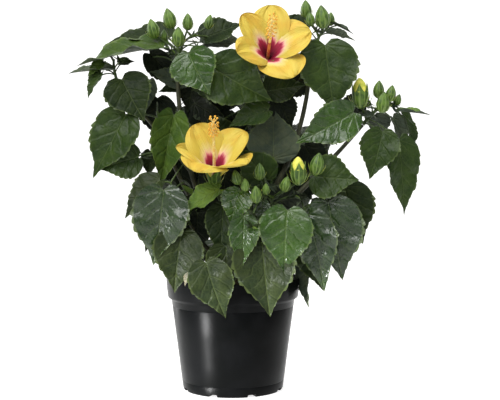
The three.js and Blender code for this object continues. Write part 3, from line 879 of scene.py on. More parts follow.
class Stream:
    """A seeded stream of numbers from 0 to 1, the same as the one in the part's source."""

    def __init__(self, seed: int) -> None:
        """Starts the stream."""
        self.state = seed & 0xFFFFFFFF

    def next(self) -> float:
        """Draws the next number.

        Returns:
            A number from 0 to 1.
        """
        self.state = (self.state + 0x6D2B79F5) & 0xFFFFFFFF
        t = self.state
        t = ((t ^ (t >> 15)) * (t | 1)) & 0xFFFFFFFF
        t ^= (t + (((t ^ (t >> 7)) * (t | 61)) & 0xFFFFFFFF)) & 0xFFFFFFFF
        return ((t ^ (t >> 14)) & 0xFFFFFFFF) / 4294967296


# ---- leaves
class Tint(Enum):
    """Leaf colours by age, and one darkened to paint the shade deep in the crown: colour, roughness of the wax, how far
    the veins stand out, how much wax.
    """

    # Painted shade: the darkest tint is darker than a leaf's own green, for leaves deep in the crown and behind others,
    # where shade falls.
    DEEP = ("#1b2119", 0.5, 0.08, 0.12)
    DARK = ("#202d15", 0.42, 0.12, 0.16)
    MID = ("#2b3e17", 0.37, 0.13, 0.26)
    BRIGHT = ("#3c521f", 0.38, 0.2, 0.2)
    SHINY = ("#1f3516", 0.28, 0.18, 0.9)
    FRESH = ("#2b4812", 0.26, 0.2, 0.7)
    OLIVE = ("#28331b", 0.4, 0.14, 0.22)
    YOUNG = ("#5f7a35", 0.46, 0.2, 0.2)
    GREY = ("#485244", 0.55, 0.14, 0.12)
    DRY = ("#a09b87", 0.7, 0.1, 0.1)

    def material(self) -> Material:
        """Builds this tint's leaf skin."""
        green, roughness, contrast, wax = self.value
        return LeafSkin(f"living_leaf_{self.name.lower()}", roughness, green=green, contrast=contrast, wax=wax).build()


@dataclass(frozen=True)
class LeafShape:
    """A pattern leaf, 1 long and 1 wide before it is sized."""

    fold: float = 12  # degrees that each half rises from the midrib
    curl: float = 0.09  # how far the tip bends back, of the length
    ripple: float = 0.016  # how far the margin waves, of the length
    phase: float = 0.0
    twist: float = 0.0  # degrees that the tip is turned about the midrib
    sweep: float = 0.0  # how far the tip swings to the left
    teeth: int = 10
    rows_per_tooth: int = 4
    columns: int = 13
    grooved: bool = True

    LOBE = 0.12  # how far the heart-shaped base reaches back, of the length
    NOTCH = 0.07  # half width of the notch that the stalk joins in, of the length
    SWELL = 0.6  # brings the widest part towards the base
    TIP = (0.5, 0.95)  # shares of the length over which the blade draws in to its tip
    PINCH = 0.36  # how far it draws in
    RATIO = 0.78  # usual width, of the length
    THICKNESS = 0.011
    GROOVE = 0.005  # depth of the veins, of the length
    TOOTH = 0.11  # how far a tooth stands out, of the half width
    ENDS = (0.012, 0.977)  # shares of the length between which the teeth's rows lie
    SMALLEST_TOOTH = 0.35  # of the largest
    MAP_START = (0.5, 0.15)  # where the stalk joins on the blade's map

    @classmethod
    def half(cls, share: Array) -> Array:
        """Gives the smooth outline's half width at shares of the length, 1 for a blade 2 wide with no pinch."""
        step = np.clip((share - cls.TIP[0]) / (cls.TIP[1] - cls.TIP[0]), 0, 1)
        return np.sin(np.pi * share**cls.SWELL) * (1 - cls.PINCH * step**2 * (3 - 2 * step))

    def rows(self) -> Line:
        """Lays out the rows of faces.

        Returns:
            The shares of the length where rows lie, and how far the tooth stands out at each, up to 1.
        """
        steps = np.linspace(0, 1, self.teeth * self.rows_per_tooth + 1)
        phase = (steps * self.teeth) % 1.0
        peak = 1 - 1 / self.rows_per_tooth
        saw = np.where(phase <= peak + 1e-6, phase / peak, (1 - phase) / (1 - peak)) ** 0.7
        draw = Stream(60 + int(100 * self.phase)).next
        least = self.SMALLEST_TOOTH
        sizes = np.array([least + (1 - least) * draw() for _ in range(self.teeth + 1)])
        tooth = np.minimum((steps * self.teeth + 1e-6).astype(int), self.teeth)
        saw *= sizes[tooth] * np.clip((steps - 0.12) / 0.2, 0, 1)
        first, last = self.ENDS
        shares = np.concatenate([[0.0], first + (last - first) * steps, [1.0]])
        return shares, np.concatenate([[0.0], saw, [0.0]])

    def pattern(self, index: int) -> Object:
        """Builds the pattern leaf with its midrib along +X and its face up +Z.

        Args:
            index: The pattern's number, for its name.

        Returns:
            The object, in no collection.
        """
        shares, saw = self.rows()
        across = np.linspace(1, -1, self.columns)
        share, side = np.meshgrid(shares, np.sign(across) * np.abs(across) ** 0.85, indexing="ij")
        edge, bulge = np.abs(side), np.sin(np.pi * share)
        tooth = saw[:, None] * edge**5 * bulge**0.3
        half = self.half(share) * (1 + self.TOOTH * tooth)
        reach = 0.5 * half * side
        out = np.abs(reach) * self.RATIO
        notch = self.LOBE * np.exp(-((out / self.NOTCH) ** 2)) * (1 - share) ** 6
        along = share - self.LOBE * edge * (1 - share) ** 3 + notch + 0.012 * tooth
        rise = out * math.sin(math.radians(self.fold)) - self.curl * share**2
        wave = np.sin(2 * np.pi * (share * 1.9 + self.phase) + side * 1.3)
        wave += 0.45 * np.sin(2 * np.pi * (share * 4.3 - side * 0.4))
        rise += self.ripple * wave * edge**1.6 * bulge
        if self.grooved:
            gap = LeafSkin.vein_gap(along, out)
            ribs = np.exp(-((gap / 0.015) ** 2)) + np.exp(-((out / 0.018) ** 2))
            rise -= self.GROOVE * np.clip(ribs, 0, 1.2)
        turn = math.radians(self.twist) * share**2
        bend = self.sweep * share**2
        points = np.stack([along, reach * np.cos(turn) + bend, rise + out * np.sign(side) * np.sin(turn)], -1)
        lift = np.zeros_like(points)
        lift[..., 2] = self.THICKNESS * (1 - edge**3) * np.sqrt(np.clip(half, 0, 1))
        uv = np.stack([reach * self.RATIO, along], -1) + self.MAP_START
        draft = Draft()
        draft.shell(points / MM, lift / MM, uv)
        return draft.to_object(f"pattern_{index:02d}", "blade", linked=False)


FEW = {"teeth": 6, "rows_per_tooth": 2, "columns": 5, "grooved": False}  # for leaves that are there in hundreds


class Form(Enum):
    """Ways a blade bends, each with its pattern leaf."""

    PLAIN = LeafShape(fold=17, curl=0.12, ripple=0.03, sweep=0.05)
    WAVY = LeafShape(fold=14, curl=0.15, ripple=0.045, phase=0.35, twist=16, sweep=-0.09)
    DROOPED = LeafShape(fold=9, curl=0.2, ripple=0.036, phase=0.7, twist=-14, sweep=0.09)
    FOLDED = LeafShape(fold=32, curl=0.1, ripple=0.03, phase=0.1, twist=14, sweep=0.06)
    ROLLED = LeafShape(fold=20, curl=0.3, ripple=0.035, phase=0.5, twist=-22)
    LIGHT = LeafShape(sweep=0.05, **FEW)
    LIGHT_WAVY = LeafShape(fold=9, curl=0.15, ripple=0.03, phase=0.3, twist=12, sweep=-0.08, **FEW)
    LIGHT_DROOPED = LeafShape(fold=-6, curl=0.2, ripple=0.02, phase=0.7, twist=-14, sweep=0.1, **FEW)


@dataclass(frozen=True)
class Blade:
    """A leaf's place: where it joins its stalk, the way it points and its face looks, its size and its look."""

    at: Array
    along: Array
    face: Array
    length: float
    width: float
    tint: Tint = Tint.DARK
    form: Form = Form.PLAIN

    def points(self, shares: Sequence[float], across: Sequence[float]) -> Array:
        """Gives a net of points of the blade.

        Args:
            shares: Shares of the length, 0 to 1.
            across: Places across, from the left margin, -1, to the right, 1.

        Returns:
            The points, row after row.
        """
        share, side = (grid.reshape(-1, 1) for grid in np.meshgrid(shares, across, indexing="ij"))
        fold = math.radians(LeafShape.fold)
        reach = self.width / 2 * np.sin(np.pi * share**LeafShape.SWELL) * side
        back = share - LeafShape.LOBE * np.abs(side) * (1 - share) ** 3
        rise = np.abs(reach) * math.sin(fold) - self.length * LeafShape.curl * share**2
        sideways = np.cross(self.along, self.face)
        return self.at + self.along * self.length * back + sideways * reach * math.cos(fold) + self.face * rise

    def euler(self) -> tuple[float, float, float]:
        """Gives the turn that carries the pattern leaf onto this blade."""
        side = np.cross(self.face, self.along)
        return tuple(Matrix(np.stack([self.along, side, self.face], 1).tolist()).to_euler("XYZ"))


def leaf(
    at: Place,
    turn: float,
    lean: float,
    roll: float,
    length: float,
    width: float,
    tint: Tint = Tint.DARK,
    form: Form = Form.PLAIN,
) -> Blade:
    """Places a display leaf as seen from the front.

    Args:
        at: Where the blade joins its stalk.
        turn: The way it points, in degrees: 0 down, 90 right, 180 up.
        lean: Degrees that it comes forward.
        roll: Degrees that its face is turned about the midrib.
        length: Length of the blade.
        width: Width of the blade.
        tint: Its colour.
        form: How it bends.

    Returns:
        The blade.
    """
    along = pointing(turn, lean)
    face = turned_about(square_to(FRONT, along), along, roll)
    return Blade(np.array(at, float), along, face, length, width, tint, form)


@dataclass(frozen=True)
class Bud:
    """A flower bud: where it joins its stalk, its turn, its length, and whether its petals show."""

    at: Place
    turn: float
    length: float
    opening: bool = False

    LEAN = 8  # degrees that buds come forward

    def along(self) -> Array:
        """Gives the way the bud points."""
        return pointing(self.turn, self.LEAN)


@dataclass(frozen=True)
class Petal:
    """How one petal differs: degrees added to its turn and its opening, shares of its size, roll and ruffle."""

    turn: float = 0
    start: float = 0
    end: float = 0
    length: float = 1
    width: float = 1
    roll: float = 0
    phase: float = 0


@dataclass(frozen=True)
class Bloom:
    """An open flower, with the angles from its axis at which its petals start and end."""

    at: Place
    turn: float
    lean: float
    petal_length: float
    petal_width: float
    opening: tuple[float, float]
    column: float
    anthers: float = 0.6
    flushed: bool = False
    petals: tuple[Petal, ...] = ()


@dataclass(frozen=True)
class Rule:
    """How the leaves that aren't listed one by one follow each other up a shoot."""

    seed: int
    count: int
    bearing: float
    pitch: float
    length: float


@dataclass(frozen=True)
class Shoot:
    """One mass of foliage. The solids have its display leaves, buds and bloom, and only this model the rest."""

    name: str
    on: str
    tip: Place
    display: tuple[Blade, ...] = ()
    buds: tuple[Bud, ...] = ()
    bloom: Bloom | None = None
    rule: Rule | None = None
    room: Box | None = None
    at: float | None = None
    extra: tuple[Blade, ...] = ()
    sprigs: tuple[Place, ...] = ()


@dataclass(frozen=True)
class Bough:
    """A tapering limb that leaves its carrier at a share of its length and bends to its tip."""

    name: str
    carrier: str
    at: float
    bend: Place
    tip: Place
    radius: tuple[float, float]


@dataclass(frozen=True)
class Thicket:
    """Leaves strewn in a box, on stalks of one shoot, that look to the front, 1, or to the back, -1."""

    owner: str
    box: Box
    tries: int
    length: float
    # mostly the darkest tint, which paints the shade inside the crown
    tints: tuple[Tint, ...] = (Tint.DEEP, Tint.DEEP, Tint.DARK)
    facing: int = 1


# ---- the plant's own sizes
BOUGHS = (
    Bough("left_bough", "trunk", 0.55, (-50, -3, 190), (-55, -5, 310.7), (3.1, 2.1)),
    Bough("far_left_bough", "left_bough", 0.56, (-80, 24, 262), (-109, 5, 297), (1.9, 1.5)),
    Bough("middle_left_bough", "trunk", 0.4, (-40, -14, 180), (-60, -15, 229), (2.4, 1.9)),
    Bough("lower_left_bough", "trunk", 0.22, (-26, -20, 138), (-41, -30, 166), (2.4, 1.9)),
    Bough("lower_bloom_bough", "trunk", 0.72, (-5, -24, 168), (-10, -38, 186), (2.4, 1.9)),
    Bough("front_bough", "trunk", 0.45, (22, -26, 146), (38, -38, 176), (2.5, 2)),
    Bough("lower_right_bough", "trunk", 0.3, (40, -14, 136), (66, -25, 175), (2.5, 1.9)),
    Bough("right_bough", "trunk", 0.66, (66, 2, 190), (129, -3, 264), (3, 1.9)),
    Bough("upper_right_bough", "trunk", 0.78, (66, 8, 215), (76, 0, 311), (3.1, 2)),
    Bough("upper_bloom_bough", "trunk", 0.96, (10, 6, 220), (29, 0, 279), (3, 2)),
    Bough("back_left_bough", "trunk", 0.3, (-22, 26, 165), (-36, 42, 214), (2.8, 2)),
    Bough("back_right_bough", "trunk", 0.45, (34, 28, 168), (58, 44, 216), (2.8, 2)),
    Bough("back_centre_bough", "trunk", 0.68, (8, 34, 190), (8, 50, 246), (2.8, 2)),
)

T, F = Tint, Form
SHOOTS = (
    Shoot(
        "upper_left_shoot", "left_bough", (-48, -12, 346),
        rule=Rule(11, 4, 60, -25, 46),
        room=((-78, 8), (-10, 60), (290, 358)),
        display=(
            leaf((-68, -18, 340), -84, 8, 67, 86, 56, T.BRIGHT, F.WAVY),
            leaf((-64, 14, 352), -92, -5, 60, 66, 42, T.DARK), leaf((-84, 12, 336), 44, -5, 10, 52, 27, T.DEEP),
            leaf((-42, -37, 332), 23, 10, 12, 45, 46, T.FRESH),
            leaf((-20, -30, 319), 57, 8, 0, 66, 55, T.MID, F.DROOPED),
            leaf((-30, 4, 350), 114, -5, -38, 44, 34, T.DARK), leaf((-30, 14, 346), 97, 0, -50, 44, 32, T.GREY),
        ),
        buds=(
            Bud((-76, -14, 349), -166, 19), Bud((-60, -10, 359), -166, 20), Bud((-44, -14, 357), 180, 16),
            Bud((-53, -22, 340), 179, 19), Bud((-68, -8, 347), 178, 11), Bud((-25, -6, 359), 167, 14),
        ),
        extra=(
            leaf((-48, 6, 306), -112, 0, 20, 38, 22, T.GREY), leaf((-40, 10, 306), -14, 0, 0, 30, 24, T.DEEP),
            leaf((-52, 4, 301), -84, 0, 25, 24, 13, T.DARK, F.FOLDED),
        ),
        sprigs=((-36, -20, 340), (-56, -24, 332), (-40, -8, 352), (-62, -20, 336)),
    ),
    Shoot(
        "far_left_shoot", "far_left_bough", (-118, -5, 329),
        rule=Rule(23, 2, 70, -20, 30),
        room=((-128, -74), (5, 45), (280, 330)),
        display=(
            leaf((-120, -8, 318), -92, 5, 72, 43, 26, T.GREY), leaf((-129, -16, 315), -33, 10, 50, 29, 20, T.MID),
            leaf((-108, -24, 308), 27, 18, -5, 48, 46, T.DARK),
            leaf((-127, -14, 326), -50, 15, 30, 22, 13, T.BRIGHT),
            leaf((-115, 8, 326), 100, -10, -40, 17, 12, T.DARK), leaf((-85, 18, 310), -12, 0, 20, 34, 24, T.GREY),
        ),
        sprigs=((-122, -10, 333), (-112, -8, 326)),
    ),
    Shoot(
        "middle_left_shoot", "middle_left_bough", (-75, -8, 277),
        rule=Rule(37, 2, 80, -35, 42),
        room=((-112, -50), (5, 60), (232, 290)),
        display=(
            leaf((-104, -26, 274), -26, 8, 12, 70, 47, T.MID, F.WAVY),
            leaf((-92, -24, 232), -76, 10, 8, 40, 37, T.MID),
            leaf((-57, -27, 273), -12, 8, -4, 72, 36, T.BRIGHT, F.FOLDED),
            leaf((-77, 22, 292), -4, 0, 10, 42, 42, T.DEEP),
        ),
        extra=(leaf((-82, -6, 238), -6, 0, 0, 26, 17, T.DARK),),
        sprigs=((-89, -15, 232),),
    ),
    Shoot(
        "lower_left_shoot", "lower_left_bough", (-60, -38, 208),
        rule=Rule(41, 4, 150, -50, 52),
        room=((-96, -30), (-60, 40), (112, 215)),
        display=(
            leaf((-65, -58, 201), -5, 3, 3, 73, 54, T.SHINY, F.WAVY),
            leaf((-70, -42, 210), -48, 5, 40, 50, 34, T.OLIVE), leaf((-48, -55, 161), -10, 3, 5, 59, 48, T.OLIVE),
            leaf((-27, -22, 200), -4, 0, -5, 50, 36, T.DEEP),
        ),
        extra=(leaf((-40, -60, 122), -32, 22, 40, 13, 7, T.DRY, F.ROLLED),),
    ),
    Shoot(
        "lower_bloom_shoot", "lower_bloom_bough", (-16, -42, 198),
        display=(
            leaf((-12, -60, 202), -68, 5, 56, 44, 30, T.YOUNG, F.DROOPED),
            leaf((-8, -56, 186), -6, 3, 10, 50, 31, T.DARK),
        ),
        extra=(leaf((-6, -18, 222), -8, 0, 0, 38, 34, T.DEEP), leaf((-34, -30, 178), -4, 0, 0, 40, 34, T.DEEP)),
        bloom=Bloom(
            (-17, -44, 206), 180, 28, 58, 50, (16, 72), 70, anthers=0.72,
            petals=(
                Petal(42, -6, -22, 1.0, 0.8, 0, 0.1), Petal(22, 2, -2, 0.92, 0.62, 0, 0.4),
                Petal(12, -9, 28, 0.94, 0.94, 0, 0.2), Petal(14, 2, 14, 0.94, 0.94, 0, 0.6),
                Petal(20, -4, -2, 1.0, 0.95, 0, 0.8),
            ),
        ),
    ),
    Shoot(
        "front_shoot", "front_bough", (30, -48, 199),
        display=(
            leaf((11, -79, 178), 1, 4, -5, 50, 28, T.FRESH, F.WAVY),
            leaf((8, -66, 201), -20, 15, 15, 34, 30, T.FRESH), leaf((29, -66, 191), -5, 5, 10, 22, 16, T.SHINY),
            leaf((52, -78, 183), -7, 8, 5, 60, 50, T.FRESH, F.DROOPED),
            leaf((34, -34, 210), -140, 10, 0, 42, 36, T.MID),
        ),
        buds=(
            Bud((6, -66, 207), -165, 14), Bud((13, -76, 201), -175, 12), Bud((26, -58, 211), 180, 16),
            Bud((23, -74, 190), -177, 16), Bud((32, -66, 197), 180, 11), Bud((49, -62, 200), 166, 15),
            Bud((63, -60, 207), -178, 26, True), Bud((79, -56, 216), 170, 21),
        ),
        sprigs=(
            *((40, -60, 194), (36, -58, 206), (16, -62, 196), (60, -58, 196)),
            *((24, -66, 184), (19, -84, 168), (20, -82, 180)),
        ),
    ),
    Shoot(
        "front_skirt_shoot", "trunk", (10, -44, 150),
        at=0.3,
        display=(
            leaf((28, -72, 157), 4, 2, 0, 76, 58, T.OLIVE),
            leaf((-24, -76, 134), 14, 3, 5, 56, 42, T.OLIVE, F.DROOPED),
            leaf((-6, -60, 148), 3, 16, 0, 42, 38, T.OLIVE), leaf((74, -22, 133), -6, 0, 68, 50, 34, T.GREY),
        ),
    ),
    Shoot(
        "lower_right_shoot", "lower_right_bough", (90, -35, 192),
        rule=Rule(83, 4, 50, -48, 52),
        room=((20, 118), (-30, 60), (112, 205)),
        display=(
            leaf((92, -46, 189), 10, 3, -10, 77, 57, T.SHINY),
            leaf((72, -60, 178), 16, 3, -8, 76, 40, T.SHINY, F.WAVY),
            leaf((68, -48, 158), 18, 2, 0, 58, 32, T.DARK), leaf((109, -22, 203), 18, 3, -10, 60, 47, T.DARK),
            leaf((78, -42, 214), 84, 15, -14, 44, 43, T.MID),
        ),
    ),
    Shoot(
        "right_shoot", "right_bough", (152, -10, 288),
        rule=Rule(97, 3, 80, -35, 42),
        room=((104, 178), (0, 60), (200, 290)),
        display=(
            leaf((146, -28, 257), -11, 8, 0, 48, 38, T.MID, F.WAVY),
            leaf((164, -12, 249), 7, 3, -20, 76, 38, T.MID, F.DROOPED),
            leaf((163, -12, 277), 90, 5, -82, 33, 20, T.YOUNG), leaf((168, 0, 276), 24, 0, -62, 46, 24, T.MID),
            leaf((161, 12, 272), 25, -5, -50, 38, 26, T.GREY),
            leaf((117, -34, 275), -59, 12, 0, 63, 40, T.FRESH, F.WAVY),
            leaf((131, 16, 284), -70, -5, 30, 34, 30, T.DEEP), leaf((137, -12, 273), -95, 0, 60, 18, 14, T.GREY),
        ),
        buds=(
            Bud((126, -16, 281), -176, 29, True), Bud((146, -22, 276), 174, 20), Bud((144, -6, 291), 177, 17),
            Bud((154, -16, 287), 170, 16), Bud((161, -8, 283), 160, 12),
        ),
        sprigs=((146, -14, 278), (158, -12, 282), (136, -12, 284)),
    ),
    Shoot(
        "upper_right_shoot", "upper_right_bough", (86, -4, 352),
        rule=Rule(101, 4, 50, -30, 44),
        room=((56, 118), (0, 62), (296, 360)),
        display=(
            leaf((90, -26, 341), 6, 8, -5, 68, 58, T.MID), leaf((98, -4, 364), 70, 5, -78, 25, 15, T.GREY),
            leaf((94, 6, 356), 80, 0, -58, 30, 18, T.GREY), leaf((73, 16, 360), -125, -5, 30, 29, 26, T.DARK),
            leaf((71, 16, 314), -52, -3, 0, 34, 30, T.DEEP), leaf((84, 20, 318), 48, 0, 0, 26, 24, T.DEEP),
        ),
        buds=(
            Bud((73, -6, 370), -175, 17), Bud((89, -14, 359), -173, 22), Bud((77, -12, 361), -172, 14),
            Bud((97, 2, 363), 178, 13),
        ),
        sprigs=((82, -10, 356), (92, -8, 362)),
    ),
    Shoot(
        "upper_bloom_shoot", "upper_bloom_bough", (32, -6, 312),
        rule=Rule(113, 3, 60, -25, 44),
        room=((-10, 58), (0, 60), (285, 350)),
        display=(
            leaf((35, -18, 278), -73, 5, 35, 42, 30, T.MID), leaf((33, -10, 297), 100, 0, -20, 40, 32, T.DARK),
            leaf((46, -2, 291), 20, 0, 0, 34, 28, T.DEEP),
        ),
        bloom=Bloom(
            (34, -12, 325), 174, 60, 58, 50, (22, 95), 76, anthers=0.56,
            flushed=True,
            petals=(
                Petal(-4, 0, -8, 0.97, 0.76, 0, 0.1), Petal(-32, 0, -16, 0.93, 0.54, 0, 0.5),
                Petal(-22, 0, -30, 0.96, 0.72, 0, 0.3), Petal(-8, 6, -6, 0.93, 0.95, 0, 0.75),
                Petal(2, 0, -8, 0.95, 0.84, 0, 0.9),
            ),
        ),
    ),
    Shoot(
        "back_left_shoot", "back_left_bough", (-44, 52, 284),
        rule=Rule(127, 12, 100, -45, 54),
        room=((-72, 4), (8, 104), (150, 325)),
        display=(
            leaf((-42, 18, 288), 62, 0, 0, 52, 42, T.DEEP), leaf((-52, 12, 228), -4, 0, 0, 46, 38, T.DEEP),
        ),
    ),
    Shoot(
        "back_right_shoot", "back_right_bough", (70, 56, 262),
        rule=Rule(131, 11, 30, -45, 54),
        room=((4, 108), (8, 104), (130, 274)),
        display=(
            leaf((72, 17, 244), 30, 0, 0, 40, 34, T.DEEP), leaf((60, 14, 214), 4, 0, 0, 46, 40, T.DEEP),
        ),
    ),
    Shoot(
        "back_centre_shoot", "back_centre_bough", (12, 58, 320),
        rule=Rule(139, 13, 60, -45, 56),
        room=((-44, 54), (12, 112), (160, 350)),
        display=(
            leaf((40, -8, 230), 178, 0, 0, 52, 52, T.GREY), leaf((-4, 30, 274), -6, 0, 0, 48, 40, T.DEEP),
        ),
        buds=(Bud((14, 64, 332), 180, 17), Bud((6, 56, 328), -172, 13)),
        sprigs=((12, 60, 324),),
    ),
    Shoot(
        "back_skirt_shoot", "trunk", (4, 46, 176),
        at=0.15,
        rule=Rule(149, 12, 20, -45, 56),
        room=((-88, 88), (-25, 112), (80, 212)),
    ),
)

# Openings through which light shows between the leaves, as seen by the camera: left, low, right, high.
OPENINGS = (
    (77, 284, 99, 306),
    (50, 280, 76, 304),
    (78, 187, 106, 207),
    (89, 222, 132, 256),
    (-102, 236, -77, 254),
    (-96, 250, -62, 262),
    (-58, 290, -50, 300),
)

# Leaves that fill the inner crown, and the gap low down at the back; those inside the crown mostly take the tint that
# paints the shade there.
THICKETS = (
    Thicket("lower_left_shoot", ((-58, -8), (-14, 40), (146, 236)), 60, 40),
    Thicket("upper_bloom_shoot", ((-46, 34), (-6, 44), (236, 300)), 40, 40),
    Thicket("front_shoot", ((8, 78), (-16, 40), (180, 288)), 70, 42),
    Thicket("lower_right_shoot", ((60, 108), (-18, 30), (150, 226)), 40, 40),
    Thicket("front_skirt_shoot", ((-30, 60), (-40, 30), (116, 190)), 60, 40),
    Thicket("back_left_shoot", ((-70, 0), (24, 84), (168, 236)), 60, 48, (T.MID, T.DARK, T.OLIVE), -1),
    Thicket("back_right_shoot", ((0, 80), (24, 84), (168, 236)), 60, 48, (T.DARK, T.MID, T.BRIGHT), -1),
)


# ---- limbs, and the rule the leaves grow by
@dataclass(frozen=True)
class TrunkSize:
    """The trunk, from a flat cut at the top of the soil to its fork."""

    foot: float = 105.3
    height: float = 52
    foot_radius: float = 6.2
    top_radius: float = 4.6
    flare: float = 3.4
    flare_height: float = 9
    lean: tuple[float, float] = (3, 2)

    def curve(self) -> Bend:
        """Gives the trunk's middle line."""
        top = np.array([*self.lean, self.foot + self.height])
        return Bend(np.array([0, 0, self.foot]), np.array([0, 0, self.foot + self.height / 2]), top)

    def radius(self, share: float) -> float:
        """Gives the trunk's radius at a share of its height."""
        flare = self.flare * math.exp(-share * self.height / (self.flare_height / 2))
        return self.foot_radius + (self.top_radius - self.foot_radius) * share + flare


@dataclass
class Limb:
    """A limb's curve and taper."""

    curve: Bend
    radius: Callable[[float], float]

    def line(self, count: int) -> Line:
        """Gives points and radii along the limb."""
        return self.curve.line(count), np.array([self.radius(s) for s in np.linspace(0, 1, count)])


@dataclass
class Skeleton:
    """The trunk and boughs, and the stems that the shoots run on with."""

    trunk: TrunkSize = field(default_factory=TrunkSize)
    limbs: dict[str, Limb] = field(default_factory=dict)

    GAP = 0.3  # between a bough's tip and its shoot's stem

    def __post_init__(self) -> None:
        """Works out each limb from its carrier."""
        self.limbs["trunk"] = Limb(self.trunk.curve(), self.trunk.radius)
        for bough in BOUGHS:
            foot = self.limbs[bough.carrier].curve.at(bough.at)
            curve = Bend(foot, np.array(bough.bend, float), np.array(bough.tip, float))
            first, last = bough.radius
            self.limbs[bough.name] = Limb(curve, lambda share, a=first, b=last: a + (b - a) * share)

    def stem(self, shoot: Shoot) -> Bend:
        """Works out the middle line of a shoot's stem, from just clear of its carrier to its tip.

        Args:
            shoot: The shoot.

        Returns:
            The stem's curve.
        """
        carrier = self.limbs[shoot.on].curve
        foot = carrier.at(shoot.at or 1.0)
        tip = np.array(shoot.tip, float)
        heading = square_to(tip - foot, UP) if shoot.at else carrier.heading()
        if not shoot.at:
            foot = foot + heading * self.GAP
        return Bend(foot, foot + heading * float(np.linalg.norm(tip - foot)) / 2, tip)


def stem_point(curve: Bend, end: Array) -> Array:
    """Finds the place on a stem that a stalk leaves from: the nearest to a point a little under its far end."""
    places = [curve.at(0.04 + 0.94 * i / 16) for i in range(17)]
    return min(places, key=lambda p: float(np.linalg.norm(p - (end - UP * 8))))


def stalk_curve(start: Array, end: Array, rise: float) -> Bend:
    """Gives the middle line of a stalk that arches upwards by a share of its length."""
    return Bend(start, (start + end) / 2 + UP * float(np.linalg.norm(end - start)) * rise, end)


@dataclass
class Space:
    """The room that limbs, stalks and blades have taken, as round markers."""

    taken: Array = field(default_factory=lambda: np.zeros((0, 4)))  # rows of x, y, z and radius
    rim: tuple[float, float] = (71, 116)  # radius and height of the pot's mouth, which leaves keep out of

    def take(self, markers: Array) -> None:
        """Adds markers."""
        self.taken = np.vstack([self.taken, markers])

    def has(self, markers: Array, room: Box, ease: float) -> bool:
        """Tests whether markers keep to a room, out of the pot's mouth and wall, and clear of all that is taken.

        Args:
            markers: Rows of x, y, z and radius.
            room: The room.
            ease: Share of the usual clearance that has to stay clear.

        Returns:
            Whether all do.
        """
        places, radii = markers[:, :3], markers[:, 3]
        low, high = np.array(room).T
        over = (places[:, 2] > self.rim[1]) | (np.hypot(places[:, 0], places[:, 1]) > self.rim[0])
        if not (over.all() and (places > low).all() and (places < high).all()):
            return False
        reach = float(radii.max() + self.taken[:, 3].max())
        low, high = places.min(axis=0) - reach, places.max(axis=0) + reach
        near = self.taken[((self.taken[:, :3] > low) & (self.taken[:, :3] < high)).all(axis=1)]
        gaps = np.linalg.norm(places[:, None] - near[None, :, :3], axis=2)
        return bool((gaps > (radii[:, None] + near[None, :, 3]) * ease).all())

    @staticmethod
    def of_leaf(blade: Blade, stem: Bend, blade_room: float = 3.2, stalk_room: float = 1.8) -> Array:
        """Gives the markers of a blade and its stalk.

        Args:
            blade: The blade.
            stem: The stem that its stalk leaves from.
            blade_room: Radius of the blade's markers.
            stalk_room: Radius of the stalk's markers.

        Returns:
            Rows of x, y, z and radius.
        """
        points = blade.points((0.06, 0.22, 0.38, 0.54, 0.7, 0.86, 0.98), (-0.9, -0.45, 0, 0.45, 0.9))
        stalk = stalk_curve(stem_point(stem, blade.at), blade.at, Foliage.RISE)
        along = [[*stalk.at(s), stalk_room] for s in (0.35, 0.5, 0.65, 0.8)]
        return np.vstack([np.c_[points, np.full(len(points), blade_room)], along])


